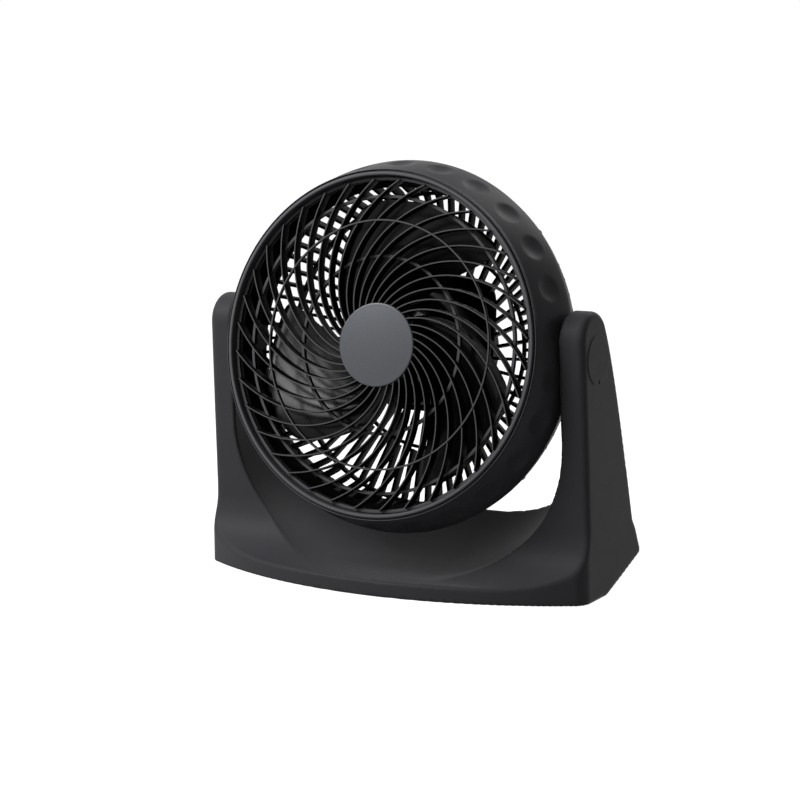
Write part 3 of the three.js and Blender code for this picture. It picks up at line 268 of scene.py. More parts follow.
def arc(centre, radius, start, end, count):
    """Points round a circle from one angle to another, in degrees."""
    turn = np.radians(np.linspace(start, end, count))
    return np.asarray(centre) + radius * np.column_stack([np.cos(turn), np.sin(turn)])


def outline_distance(outline, y, z):
    """Distance to a closed outline, negative inside: the least distance to any of its sides, with the sign
    from how many of them a ray towards +y crosses."""
    start, side = outline, np.roll(outline, -1, axis=0) - outline
    dy, dz = y[..., None] - start[:, 0], z[..., None] - start[:, 1]
    share = np.clip((dy * side[:, 0] + dz * side[:, 1]) / (side ** 2).sum(axis=1), 0, 1)
    nearest = np.hypot(dy - share * side[:, 0], dz - share * side[:, 1]).min(axis=-1)
    rises = np.where(side[:, 1] == 0, 1, side[:, 1])
    crossed = ((dz >= 0) != (dz >= side[:, 1])) & (dy < side[:, 0] * dz / rises)
    return np.where(crossed.sum(axis=-1) % 2 == 1, -nearest, nearest)


def rounded_common(a, b, radius):
    """Distance to what two solids share, with the edge between them rounded: beyond the radius the larger
    distance, and within it the length of the two shortfalls."""
    flat = np.minimum(np.maximum(a, b), -radius)
    return flat + np.hypot(np.maximum(a + radius, 0), np.maximum(b + radius, 0))


def smooth_step(value, start, end):
    """Nought before start, one after end, and an even S between them."""
    share = np.clip((value - start) / (end - start), 0, 1)
    return share * share * (3 - 2 * share)


tilt_joint = next(j for j in frame["joints"] if j["name"] == "head_tilt")
spin_joint = next(j for j in frame["joints"] if j["name"] == "blade_spin")
pivot = 1000 * np.array(tilt_joint["pos_m"])
pivot_ahead = 4  # the pivots lie this far in front of the stand's middle
stand_middle = pivot[1] + pivot_ahead

# The side outline, as (y, z) from the stand's middle, and the width
half_width, arm_top, side_lean = 171.5, 225.5, 3.5
shelf_height, cove_radius, cove_y = 13, 42, -64
arm_round_centre, arm_round_radius, arm_round_end = np.array([-9, 202.5]), 23, 25.5
rear_pull, rear_kink, rear_lean = 54, np.array([66.5, 51.8]), 16
outline_bottom = -12
rear_corners = [(72.5, 44), (82, 25.8), (80, 0), (80, outline_bottom)]
fascia_reach, fascia_radius, outline_overrun = 78, 319, 20
arm_lean = 5 / 202.5

# The scoop between the arms, whose floor climbs towards the rear
scoop_flat, scoop_radius, scoop_rear_radius = 41, 107, 118
scoop_wall, scoop_wall_top, scoop_top_z = 148, 151, 150
scoop_rise, scoop_rise_from, scoop_rise_to, climb_limit = 29.5, -30, 65, 1.2

# The underside's pocket, and the wedge cut from under the raised rear corners
skirt_gap, plate_roof = 0.1, 5.3
plate_half, plate_rear_half, plate_step, plate_rear, moulding_wall = 158, 118, 10, 74, 4.6
undercut_x, undercut_from, undercut_slope = 125, 15, np.arctan2(23.2, 71)

# Edge radii: the outline's grows from the shelf to the arms
plan_round, edge_round, edge_round_growth = 7, 1.8, 3.2
edge_growth_z, edge_growth_ahead = (14, 70), (-20, 10)
scoop_round, skirt_round, undercut_round = 1.3, 1.0, 0.8


def side_outline():
    """The stand from the side, as (y, z): shelf, cove and arm front in one run, the arm's round top, then
    a long curve down its back to the skirt."""
    lean, end = np.radians([rear_lean, arm_round_end])
    cove = arc((cove_y, shelf_height + cove_radius), cove_radius, -90, 3, 22)
    top = arc(arm_round_centre, arm_round_radius, 180, arm_round_end, 36)
    controls = np.array([top[-1], top[-1] + rear_pull * np.array([np.sin(end), -np.cos(end)]),
                         rear_kink + rear_pull * np.array([-np.sin(lean), np.cos(lean)]), rear_kink])
    t = np.linspace(0, 1, 30)[1:, None]
    weights = np.hstack([(1 - t) ** 3, 3 * t * (1 - t) ** 2, 3 * t * t * (1 - t), t ** 3])
    front_y = -fascia_reach - outline_overrun
    front = [(front_y, outline_bottom), (front_y, shelf_height)]
    return np.vstack([front, cove, top, weights @ controls, rear_corners])


outline = side_outline()


def stand_distance(x, y, z):
    """Distance to the stand's surface: its side outline drawn out across the width, cut to the bowed
    fascia and the leaning sides, less the scoop, the wedge under the rear corners and the pocket of the
    bottom plate."""
    y = y - stand_middle
    profile = outline_distance(outline, *np.broadcast_arrays(y, z))
    side = np.abs(x) - half_width + side_lean * z / arm_top
    bow = np.hypot(x, y + arm_lean * z - fascia_radius + fascia_reach) - fascia_radius
    plan = rounded_common(bow, side, plan_round)
    growth = smooth_step(z, *edge_growth_z) * smooth_step(-y, *edge_growth_ahead)
    solid = rounded_common(profile, plan, edge_round + edge_round_growth * growth)
    climb = np.clip((y - scoop_rise_from) / (scoop_rise_to - scoop_rise_from), 0, climb_limit)
    radius = scoop_radius + (scoop_rear_radius - scoop_radius) * np.minimum(climb, 1)
    ground = shelf_height + scoop_rise * climb ** 2
    out = np.abs(x) - scoop_flat
    above = z - ground - radius
    round_wall = np.where(above < 0, np.hypot(np.maximum(out, 0), above), np.maximum(out, 0)) - radius
    arm_wall = scoop_wall + (scoop_wall_top - scoop_wall) * np.clip(z / scoop_top_z, 0, 1)
    scoop = np.maximum(np.where(out > 0, round_wall, ground - z), np.abs(x) - arm_wall)
    solid = rounded_common(solid, -scoop, scoop_round)
    solid = rounded_common(solid, skirt_gap - z, skirt_round)
    under_slope = z * np.cos(undercut_slope) - (y - undercut_from) * np.sin(undercut_slope)
    wedge = np.maximum(under_slope, undercut_x - np.abs(x))
    solid = rounded_common(solid, -wedge, undercut_round)
    pocket = np.maximum.reduce(np.broadcast_arrays(
        bow + moulding_wall, np.abs(x) - plate_half, y - plate_rear,
        np.minimum(y - plate_step, np.abs(x) - plate_rear_half), z - plate_roof))
    return np.maximum(solid, -pocket)


charcoal_abs = moulded_plastic("charcoal_abs", "#39393c", "#3c3c3f", 0.42, 0.03, 1.1, 0.03, 0.02)
stand_step = 2.0
skin_low = (-174, stand_middle - 88, -3)
skin_high = (174, stand_middle + 88, 230)
stand_points, stand_faces = skin(stand_distance, skin_low, skin_high, stand_step)
stand_shell = mesh_piece("stand_shell", stand_points, stand_faces, charcoal_abs, 180)
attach(stand_shell, "stand")
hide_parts("base_shell")


# The underside
# A flat plate of black ABS closes the stand from below. It keeps its solid's shape, as do the screws that
# hold it, and four pressed-in rubber discs carry the fan.
def about(radius, height, turn):
    """Points at an angle and a radius about Y, and a height along it."""
    return np.stack([radius * np.cos(turn), height + 0 * turn, radius * np.sin(turn)], axis=-1)


def turned(profile, sides):
    """Grid of points of a profile, rows of (radius, height), turned about Y in even steps."""
    turn = np.linspace(0, 2 * np.pi, sides, endpoint=False)
    radius, height = np.asarray(profile, float).T[:, :, None]
    return about(radius, height, turn)


def grid_faces(copies, rows, columns):
    """Quads between neighbours in each of several like grids; the last column meets the first."""
    base = (np.arange(copies)[:, None, None] * rows + np.arange(rows - 1)[:, None]) * columns
    here = np.arange(columns)
    a, b = base + here, base + (here + 1) % columns
    return np.stack([a, b, b + columns, a + columns], axis=-1).reshape(-1, 4)


def grid_piece(name, grids, material, sharp_degrees=40):
    """One object from several arrays of points (copies, rows, columns, 3), each closed round its
    columns."""
    points, faces, count = [], [], 0
    for grid in grids:
        grid = grid[None] if grid.ndim == 3 else grid
        faces.append(grid_faces(*grid.shape[:3]) + count)
        points.append(grid.reshape(-1, 3))
        count += len(points[-1])
    return mesh_piece(name, np.vstack(points), np.vstack(faces), material, sharp_degrees)


def rounded(corners, arc_points=5):
    """A broken line of (a, b, radius) corners with each corner turned into an arc that touches both its
    sides; the middle of the arc lies on the corner's bisector. A radius of nought keeps the corner."""
    corners = np.asarray(corners, float)
    line = [corners[0, :2]]
    for before, here, after in zip(corners, corners[1:], corners[2:]):
        into, out = before[:2] - here[:2], after[:2] - here[:2]
        into, out = into / np.linalg.norm(into), out / np.linalg.norm(out)
        half = np.arccos(np.clip(into @ out, -1, 1)) / 2
        if here[2] == 0 or half > np.pi / 2 - 0.01:
            line.append(here[:2])
            continue
        reach = here[2] / np.tan(half)
        centre = here[:2] + (into + out) / np.linalg.norm(into + out) * here[2] / np.sin(half)
        start, end = here[:2] + into * reach - centre, here[:2] + out * reach - centre
        sweep = np.pi - 2 * half
        share = np.linspace(0, 1, arc_points)[:, None]
        bend = np.sin((1 - share) * sweep) * start + np.sin(share * sweep) * end
        line.extend(centre + bend / np.sin(sweep))
    return np.array([*line, corners[-1, :2]])


def node_points(name):
    """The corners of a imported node, in millimetres in the row's frame."""
    mesh = frame["nodes"][name].data
    corners = np.empty(3 * len(mesh.vertices))
    mesh.vertices.foreach_get("co", corners)
    return 1000 * corners.reshape(-1, 3)


def upright(points):
    """Stands a grid that is turned about Y on end, so that it turns about Z."""
    return points[..., [0, 2, 1]]


def dress(names, material):
    """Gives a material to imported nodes, which keep their shape."""
    for name in names:
        frame["nodes"][name].data.materials.clear()
        frame["nodes"][name].data.materials.append(material)


black_abs = moulded_plastic("black_abs", "#0f0f10", "#151516", 0.55, 0.3)
dress(["base_bottom_plate"], black_abs)

# The feet are matt nitrile rubber, pressed in by a stem.
foot_rubber = moulded_plastic("nitrile_rubber", "#0b0b0b", "#121212", 0.8, 0.25, 0.8, 0.05)
foot_height, foot_round, stem_radius, foot_edge = 2.7, 1.1, 2.4, 0.4
foot_names = ["foot_front_left", "foot_front_right", "foot_rear_left", "foot_rear_right"]
foot_grids = []
for foot_name in foot_names:
    low, high = node_points(foot_name).min(axis=0), node_points(foot_name).max(axis=0)
    centre, foot_radius = (low + high) / 2, (high[0] - low[0]) / 2
    profile = rounded([(0, 0, 0), (foot_radius, 0, foot_round), (foot_radius, foot_height, foot_edge),
                       (stem_radius, foot_height, 0), (stem_radius, high[2], foot_edge), (0, high[2], 0)])
    foot_grids.append(upright(turned(profile, 40)) + np.array([centre[0], centre[1], 0]))
feet = grid_piece("rubber_feet", foot_grids, foot_rubber)
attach(feet, "stand")
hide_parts(*foot_names)


# Screws
# Zinc-plated pan heads with a cross recess hold the head's shells at the back: the head is a flattened
# dome, the recess a cross with tapering walls. The screws out of sight are plated alike and keep their
# solids.
def metal(name, colour, roughness, scratch=0.08):
    """Bare or plated metal: full metallic, with roughness that wanders as plating and handling leave
    it."""
    made, tree = new_material(name)
    place = node(tree, "ShaderNodeTexCoord").outputs["Object"]
    cloud = node(tree, "ShaderNodeTexNoise", {"Vector": place, "Scale": 400.0, "Detail": 4.0})
    bump = node(tree, "ShaderNodeBump", {"Height": cloud.outputs[0], "Strength": 0.2, "Distance": 2e-5})
    shader = node(tree, "ShaderNodeBsdfPrincipled", {
        "Base Color": linear(colour), "Metallic": 1.0, "Roughness": spread(tree, cloud, roughness, scratch),
        "Normal": bump.outputs[0]})
    node(tree, "ShaderNodeOutputMaterial", {"Surface": shader.outputs[0]})
    return made


def pan_head(radius, height):
    """A screw head about Y, facing +Y: a dome, height times the root of one less 0.75 of the radius share
    squared, less a cross whose depth falls off over its arms' edges, closed by a flat underside."""
    share = np.concatenate([[0], np.linspace(0.02, 1, 26)])[:, None]
    turn = np.linspace(0, 2 * np.pi, 64, endpoint=False)
    x, z = radius * share * np.cos(turn), radius * share * np.sin(turn)
    dome = height * np.sqrt(1 - 0.75 * share ** 2)
    slot_half, slot_reach, slot_depth = 0.13 * radius, 0.52 * radius, 0.55 * height
    along, across = np.maximum(np.abs(x), np.abs(z)), np.minimum(np.abs(x), np.abs(z))
    cross = 1 - smooth_step(across, slot_half * 0.6, slot_half * 1.6)
    cross = cross * (1 - smooth_step(along, 0.8 * slot_reach, slot_reach))
    top = np.stack([x, dome - slot_depth * cross, z], axis=-1)
    wall = np.stack([x[-1], np.full_like(turn, 0), z[-1]], axis=-1)
    centre = np.zeros((1, len(turn), 3))
    return np.concatenate([top, wall[None], centre])


tilt = np.arctan2(-spin_joint["axis"][2], spin_joint["axis"][1])
head_front = -np.array(spin_joint["axis"]) * np.sign(spin_joint["axis"][1])
head_turn = np.array([[1, 0, 0], [0, np.cos(tilt), np.sin(tilt)], [0, -np.sin(tilt), np.cos(tilt)]])


def from_head(points):
    """Points of the head's own frame in the row's frame: leaned back with the head and moved to the
    pivots."""
    return points @ head_turn.T + pivot


def in_head(points):
    """Points of the row's frame in the head's own frame."""
    return (points - pivot) @ head_turn


def head_piece(name, grids, material, sharp_degrees):
    """One object from grids of points in the head's own frame."""
    return grid_piece(name, [from_head(grid) for grid in grids], material, sharp_degrees)


def head_box(name):
    """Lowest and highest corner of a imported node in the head's own frame."""
    corners = in_head(node_points(name))
    return corners.min(axis=0), corners.max(axis=0)


def beside(name):
    """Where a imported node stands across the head's axis, as a point at the pivots' own depth."""
    low, high = head_box(name)
    return np.array([(low[0] + high[0]) / 2, 0, (low[2] + high[2]) / 2])


zinc = metal("zinc_plated_steel", "#9b9ca0", 0.36)
dress([n for n in frame["nodes"] if "screw" in n], zinc)
screw_radius, screw_height, shank_radius = 3.1, 2, 1.4
cover_screws = [n for n in frame["nodes"] if n.startswith("cover_screw")]
shroud_screws = [n for n in frame["nodes"] if n.startswith("shroud_screw")]
rear_heads = []
for screw_name in cover_screws + shroud_screws:
    low, high = head_box(screw_name)
    seat = high[1] - screw_height
    shank_end = low[1] - seat
    shank = turned([(0, shank_end), (shank_radius, shank_end), (shank_radius, 0), (0, 0)], 16)
    spot = beside(screw_name) + np.array([0, seat, 0])
    rear_heads += [pan_head(screw_radius, screw_height) + spot, shank + spot]
rear_screws = head_piece("rear_screws", rear_heads, zinc, 50)
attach(rear_screws, "head")
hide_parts(*cover_screws, *shroud_screws)


# Pivot caps
# A push-in disc of the stand's own plastic hides each pivot screw, with a small notch to prise it out by.
cap_radius, cap_proud, cap_depth, cap_rim = 20, 0.6, 2.4, 0.7
notch_radius, notch_depth, notch_inset = 2.2, 1.2, 1.5


def cap_grid(side):
    """A disc about X that leans with the arm's side: its face is flat out to a rounded rim, and dips in a
    round notch at its lowest point."""
    front = half_width - side_lean * pivot[2] / arm_top + cap_proud
    back = front - cap_depth
    wall = rounded([(0, back, 0), (cap_radius, back, 0), (cap_radius, front, cap_rim),
                    (0, front, 0)], 6)[:-1]
    face = np.column_stack([np.linspace(cap_radius - cap_rim, 0, 30), np.full(30, front)])
    disc = turned(np.vstack([wall, face]), 96)
    y, x, z = np.moveaxis(disc, -1, 0)
    near = np.hypot(y, z + cap_radius - notch_inset)
    dip = 1 - smooth_step(near, notch_radius * 0.7, notch_radius * 1.2)
    x = np.where(x > front - 0.01, x - notch_depth * dip, x) - side_lean * z / arm_top
    return np.stack([side * x, y, z], axis=-1) + pivot * [0, 1, 1]


caps = grid_piece("pivot_caps", [cap_grid(side) for side in (-1, 1)], charcoal_abs)
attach(caps, "stand")
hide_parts("pivot_cap_left", "pivot_cap_right")


# Shroud ring
# The head's outer casing, moulded in charcoal ABS and smoother than the stand: a band that swells towards
# the rear, with a row of round thumb dishes, a raised lip round the front opening, and a near-black duct
# lining inside. The lip and other forward-facing faces are painted lighter as a highlight; the lining is
# painted shade.
shroud_front, shroud_rear, shroud_widest = -46.5, 13.6, -5.0
shroud_front_radius, shroud_wide_radius, shroud_rear_radius = 137, 149.2, 143.6
shroud_wall, swell_power = 3.2, 1.4
lip_inner, lip_outer, lip_front, lip_back, lip_round = 132.6, 136.0, -49, -41, 1.5
groove_outer, groove_y, crest_radius, crest_y = 137.0, -45.6, 137.9, -47.4
band_start, duct_back = -44.5, -36
dish_count, dish_radius, dish_depth, dish_y = 26, 10.5, 2.4, -25


def shroud_radius(y):
    """The band's radius: the widest less a swell that grows with a power of the distance to the widest
    line."""
    share = np.maximum((shroud_widest - y) / (shroud_widest - shroud_front), 0)
    return shroud_wide_radius - (shroud_wide_radius - shroud_front_radius) * share ** swell_power


def shroud_grid():
    """The ring's closed section, from the lip over the band and back inside, turned about Y; the dishes
    sink along the band's slope by one less the square of the distance from their middle, eased at the
    rim."""
    band = np.linspace(band_start, shroud_widest, 62)
    front = rounded([
        (lip_inner, lip_back, 0), (lip_inner, lip_front, lip_round), (lip_outer, lip_front, lip_round),
        (lip_outer + 0.1, groove_y, 0.3), (groove_outer, groove_y, 0.3), (groove_outer + 0.1, -47.6, 0.5),
        (crest_radius, crest_y, 0.6), (shroud_radius(band_start), band_start, 0)], 6)
    rear = rounded([
        (shroud_wide_radius, shroud_widest + 0.8, 0), (shroud_wide_radius - 1.6, shroud_widest + 8, 9),
        (shroud_rear_radius, shroud_rear, 0.8), (shroud_rear_radius - shroud_wall, shroud_rear, 0.5),
        (shroud_wide_radius - shroud_wall, shroud_widest, 4),
        (shroud_radius(duct_back) - shroud_wall, duct_back, 0), (lip_inner, duct_back, 0),
        (lip_inner, lip_back, 0)], 4)
    profile = np.vstack([front, np.column_stack([shroud_radius(band), band]), rear])
    grid = turned(profile, dish_count * 28)
    on_band = np.zeros(len(profile))
    on_band[len(front):len(front) + len(band)] = 1
    turn = np.arctan2(grid[..., 2], grid[..., 0])
    pitch = 2 * np.pi / dish_count
    off = (turn / pitch - np.floor(turn / pitch) - 0.5) * pitch * shroud_radius(dish_y)
    bowl = 1 - (off ** 2 + (grid[..., 1] - dish_y) ** 2) / dish_radius ** 2
    easing, far_off = 0.03, -1.5
    sink = dish_depth * 0.5 * (bowl + np.sqrt(bowl ** 2 + easing)) * on_band[:, None] * (bowl > far_off)
    radius = np.hypot(grid[..., 0], grid[..., 2])
    return grid * (1 - sink / radius)[..., None] + grid * [0, 1, 0] * (sink / radius)[..., None]


def along_x(points, side):
    """A grid that is turned about Y, laid over so that it turns about X and points out of one side."""
    return np.stack([side * points[..., 1], points[..., 0], points[..., 2]], axis=-1)


trunnion_radius, trunnion_start, trunnion_end, trunnion_bore, trunnion_floor = 10.5, 134, 149, 3.3, 138
trunnion = rounded([
    (0, trunnion_start, 0), (trunnion_radius, trunnion_start, 0), (trunnion_radius, trunnion_end, 0.6),
    (trunnion_bore, trunnion_end, 0), (trunnion_bore, trunnion_floor, 0), (0, trunnion_floor, 0)])
screw_boss, boss_start, boss_end, boss_bore, boss_floor = 4.4, -5, 11, 1.7, 3
boss = rounded([(0, boss_start, 0), (screw_boss, boss_start, 0.5), (screw_boss, boss_end, 0.3),
                (boss_bore, boss_end, 0), (boss_bore, boss_floor, 0), (0, boss_floor, 0)])
shroud_grids = [shroud_grid()]
shroud_grids += [along_x(turned(trunnion, 48), side) for side in (-1, 1)]
shroud_grids += [turned(boss, 24) + beside(screw_name) for screw_name in shroud_screws]
# 59595c on forward-facing faces, the lip's front most of all, is a painted highlight.
shroud_abs = moulded_plastic("satin_charcoal_abs", "#38383b", "#3b3b3e", 0.38, 0.04, 0.9, 0.02, 0.02,
                             "#59595c", tuple(head_front))
shroud = head_piece("shroud_casing", shroud_grids, shroud_abs, 50)
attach(shroud, "head")
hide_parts("shroud_ring")

# The lining is painted shade: near-black plastic where the shroud's charcoal inner wall lies in shade.
black_rib_abs = moulded_plastic("black_rib_abs", "#060606", "#090909", 0.5, 0.03, 0.8, 0.01, 0.04)
duct_line = rounded([(126, -20.5, 0), (129.6, -37.3, 0.4), (132.5, -37.3, 0), (132.5, duct_back, 0),
                     (130.4, duct_back, 0.6), (127.8, -20.5, 0.6), (126, -20.5, 0)], 4)
duct = head_piece("painted_shade_lining", [turned(duct_line, 240)], black_rib_abs, 50)
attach(duct, "head")
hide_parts("shroud_ring")


# Front grille
# Thirty-six upright ribs sweep outwards along spirals, all cast in one moulding with the hub cup, the rim,
# a thin ring just proud of their front edges and two rings behind them. The moulding is painted near black
# as shade, and its forward-facing faces are painted grey as a highlight.
rib_count, rib_phase = 36, np.radians(1.8)
rib_inner, rib_outer = 32.6, 130.0
rib_front, rib_back, rib_front_half, rib_back_half = -46.3, -37.6, 0.55, 0.8
swirl_by_growth, swirl_by_reach = np.radians(18.5), np.radians(0.42)


def spiral_ribs():
    """Every rib at once: the angle turns back in step with the radius and with its logarithm, so that the
    slant's tangent grows outwards, and a rounded upright section stands across that line."""
    radius = rib_inner * (rib_outer / rib_inner) ** np.linspace(0, 1, 56)
    start = rib_phase + 2 * np.pi * np.arange(rib_count) / rib_count
    turn = start[:, None] - swirl_by_growth * np.log(radius / rib_inner)
    turn = turn - swirl_by_reach * (radius - rib_inner)
    side = turn - np.arctan(swirl_by_growth + swirl_by_reach * radius) + np.pi / 2
    half = rounded([(0, rib_front, 0), (rib_front_half, rib_front, 0.2), (rib_back_half, rib_back, 0.3),
                    (0, rib_back, 0)], 5)
    section = np.vstack([half, half[-2:0:-1] * [-1, 1]])
    across, deep = section.T
    ridge, sideways = about(radius, 0, turn)[:, :, None], about(1, 0, side)[:, :, None]
    return closed_ends(ridge + across[:, None] * sideways + deep[:, None] * np.array([0, 1, 0]))


def closed_ends(grid):
    """Closes each rib of a grid (ribs, rows, columns, 3) by drawing its end rows in to their middles."""
    ends = grid[:, [0, -1]].mean(axis=2, keepdims=True) + 0 * grid[:, [0, -1]]
    return np.concatenate([ends[:, :1], grid, ends[:, 1:]], axis=1)


def ring_grid(radius, width, front, back, fillet, sides=240):
    """A ring about Y with a rounded section, its radius at the middle of the width."""
    half = width / 2
    section = rounded([(radius, front, 0), (radius + half, front, fillet), (radius + half, back, fillet),
                       (radius - half, back, fillet), (radius - half, front, fillet), (radius, front, 0)], 4)
    return turned(section, sides)


cup_floor, cup_inner, cup_outer, cup_front = -43, 31.8, 33.4, -45.9
hub_cup = rounded([(0, cup_floor, 0), (cup_inner, cup_floor, 0.3), (cup_inner, cup_front, 0.6),
                   (cup_outer - 0.1, cup_front, 0.7), (cup_outer, rib_back, 0.6), (0, rib_back, 0)], 5)
grille_rings = [  # middle radius, width, front, back, edge radius
    (130.8, 3.2, cup_floor, rib_back, 0.7),
    (97.8, 1.5, -46.9, -43.7, 0.35),
    (69.9, 2.5, -41.2, rib_back, 0.3),
    (116.8, 2.5, -41.2, rib_back, 0.3),
]
grille_grids = [spiral_ribs(), turned(hub_cup, 144)] + [ring_grid(*ring) for ring in grille_rings]
# Near black is painted shade on the ribs' sides; #505052 on forward-facing faces is a painted highlight.
grille_abs = moulded_plastic("grille_abs", "#0a0a0b", "#0c0c0d", 0.35, 0.03, 0.8, 0.01, 0.02, "#505052",
                             tuple(head_front))
grille = head_piece("spiral_grille", grille_grids, grille_abs, 60)
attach(grille, "head")
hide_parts("front_grille")


# Centre medallion
# A shallow dome of plastic, sprayed satin grey, that sits on the hub cup with a rim over its edge. It is
# bare.
def satin_paint(name, colour, flake_colour, roughness):
    """Sprayed metallic paint: fine flake makes the colour and the shine flicker over a millimetre or
    so."""
    made, tree = new_material(name)
    place = node(tree, "ShaderNodeTexCoord").outputs["Object"]
    flake = node(tree, "ShaderNodeTexNoise", {"Vector": place, "Scale": 1400.0, "Detail": 2.0})
    shade = node(tree, "ShaderNodeMix", {0: flake.outputs[0], 6: linear(colour), 7: linear(flake_colour)},
                 data_type="RGBA")
    bump = node(tree, "ShaderNodeBump", {"Height": flake.outputs[0], "Strength": 0.3, "Distance": 1e-5})
    shader = node(tree, "ShaderNodeBsdfPrincipled", {
        "Base Color": shade.outputs[2], "Metallic": 0.4, "Roughness": roughness, "Normal": bump.outputs[0],
        "Specular IOR Level": 0.2})
    node(tree, "ShaderNodeOutputMaterial", {"Surface": shader.outputs[0]})
    return made


dome_radius, dome_front, dome_rise = 31.2, -47.2, 1.15
plug_radius, plug_back, rim_radius, rim_back = 31.3, -43.3, 32.9, -46.2
dome_share = np.linspace(1, 0, 24)
dome = np.column_stack([dome_radius * dome_share, dome_front - dome_rise * (1 - dome_share ** 2)])
badge_edge = rounded([(plug_radius, plug_back, 0), (plug_radius, rim_back, 0), (rim_radius, rim_back, 0.3),
                      (rim_radius, -47.0, 0.6), (31.4, dome_front, 0)], 5)
badge_profile = np.vstack([[(0, plug_back)], badge_edge, dome])
badge_paint = satin_paint("satin_silver_paint", "#44464a", "#54565a", 0.4)
badge = head_piece("centre_medallion", [turned(badge_profile, 120)], badge_paint, 60)
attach(badge, "head")
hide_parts("centre_badge")


# Rear grille
# A black bowl of seventy-two thin ribs with a faint swirl. They spring from a flange behind the shroud,
# bend in at the shoulder hoop and run inwards: every second one to a tie ring, the others to the plate of
# the motor.
rear_rib_count, rear_swirl = 72, np.radians(5)
bowl_line = rounded([(139.6, 12, 0), (127.4, 40.2, 9), (53, 57, 0)], 12)
rear_rib_in, rear_rib_out, rear_rib_in_half, rear_rib_out_half = -4, 4.7, 1.3, 1.1


def bowl_ribs(line, start):
    """Ribs along one side line of the bowl, as (radius, y): the angle turns back in step with the
    logarithm of the radius, and a thin section stands square to the line, with its width round the
    axis."""
    radius, height = line.T
    share = np.log(bowl_line[0, 0] / radius) / np.log(bowl_line[0, 0] / bowl_line[-1, 0])
    turn = start[:, None] - rear_swirl * share
    tangent = np.gradient(line, axis=0)
    tangent /= np.linalg.norm(tangent, axis=1)[:, None]
    outward, rise = tangent[:, 1], -tangent[:, 0]
    half = rounded([(0, rear_rib_in, 0), (rear_rib_in_half, rear_rib_in, 0.4),
                    (rear_rib_out_half, rear_rib_out, 0.5), (0, rear_rib_out, 0)], 4)
    section = np.vstack([half, half[-2:0:-1] * [-1, 1]])
    around = np.stack([-np.sin(turn), 0 * turn, np.cos(turn)], axis=-1)[:, :, None]
    ridge, square = about(radius, height, turn)[:, :, None], about(outward, rise, turn)[:, :, None]
    return closed_ends(ridge + section[:, 0, None] * around + section[:, 1, None] * square)


whole_line = np.vstack([bowl_line[:-1], np.linspace(bowl_line[-2], bowl_line[-1], 12)[1:]])
tie_radius = 82
short_line = whole_line[whole_line[:, 0] > tie_radius - 1]
tie_y = np.interp(-tie_radius, -whole_line[:, 0], whole_line[:, 1])
starts = 2 * np.pi * np.arange(rear_rib_count) / rear_rib_count

# The motor plate is a disc drawn out towards a square by a high power mean, taller than wide and set high.
motor_plate_half, motor_plate_height_half, motor_plate_raise, square_power = 52, 56, 4, 6
plate_front, plate_back = 56, 59
plate = turned(rounded([(0, plate_front, 0), (motor_plate_half, plate_front, 0.8),
                        (motor_plate_half, plate_back, 0.8), (0, plate_back, 0)]), 120)
plate_turn = np.arctan2(plate[..., 2], plate[..., 0])[..., None]
corner_sum = np.cos(plate_turn) ** square_power + np.sin(plate_turn) ** square_power
plate_square = corner_sum ** (-1 / square_power) - 1
plate = plate * (1 + plate_square * [1, 0, 1]) * [1, 1, motor_plate_height_half / motor_plate_half]
plate = plate + np.array([0, 0, motor_plate_raise])

flange_front, flange_back, lug_radius = 11.3, 16.3, 4.4
post = rounded([(0, 53.3, 0), (5, 53.3, 0.4), (5, 57, 0), (0, 57, 0)])
flange = rounded([(141.2, flange_front, 0), (143, flange_front, 0.5), (143, flange_back, 0.8),
                  (139.4, flange_back, 0.8), (139.4, flange_front, 0.5), (141.2, flange_front, 0)])
lug = rounded([(0, flange_front, 0), (lug_radius, flange_front, 0.4), (lug_radius, flange_back, 0.5),
               (0, flange_back, 0)])
rear_grids = [
    bowl_ribs(whole_line, starts[::2]),
    bowl_ribs(short_line, starts[1::2]),
    plate,
    turned(flange, 240),
    ring_grid(127, 2.6, 37.2, 44.2, 0.9),
    ring_grid(tie_radius, 2.6, tie_y - 0.5, tie_y + 4, 0.9),
]
post_reach = 27
for quarter in np.radians([45, 135, 225, 315]):
    rear_grids.append(turned(post, 24) + about(post_reach, 0, quarter))
rear_grids += [turned(lug, 24) + beside(screw_name) for screw_name in shroud_screws]
rear_grille = head_piece("rear_bowl", rear_grids, black_rib_abs, 60)
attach(rear_grille, "head")
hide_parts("rear_grille")


# Motor and its cover
# The motor is closed in by a cup of black plastic in front of the plate. The parts inside keep their
# solids and get the finish of sheet steel, copper wire, die-cast zinc, bronze, ground steel and black
# plastic.
motor_cup_radius, motor_cup_wall, motor_cup_front, motor_cup_back, nose_bore = 46, 2, 5.5, 55.7, 13
cup_inside = motor_cup_radius - motor_cup_wall
cup = rounded([
    (nose_bore, motor_cup_front, 0.3), (motor_cup_radius, motor_cup_front, 5),
    (motor_cup_radius, motor_cup_back, 0.4), (cup_inside, motor_cup_back, 0.3),
    (cup_inside, motor_cup_front + motor_cup_wall, 4), (nose_bore, motor_cup_front + motor_cup_wall, 0.3),
    (nose_bore, motor_cup_front, 0)], 7)
motor_cup = head_piece("motor_cup", [turned(cup, 120)], black_rib_abs, 60)
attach(motor_cup, "head")
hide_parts("motor_cover")

dress(["stator_core", "rotor_core"], metal("stacked_lamination_steel", "#5b5b5e", 0.5))
dress(["stator_winding"], metal("enamelled_copper_wire", "#9a4e25", 0.35))
dress(["motor_bracket_front", "motor_bracket_rear"], metal("die_cast_bracket", "#a3a4a6", 0.45))
dress(["bearing_front", "bearing_rear"], metal("sintered_bronze", "#8a6a3f", 0.5))
dress(["motor_shaft", "switch_spindle"], metal("ground_steel", "#b4b5b8", 0.25))
dress(["speed_switch", "pivot_washer_left", "pivot_washer_right"], black_abs)


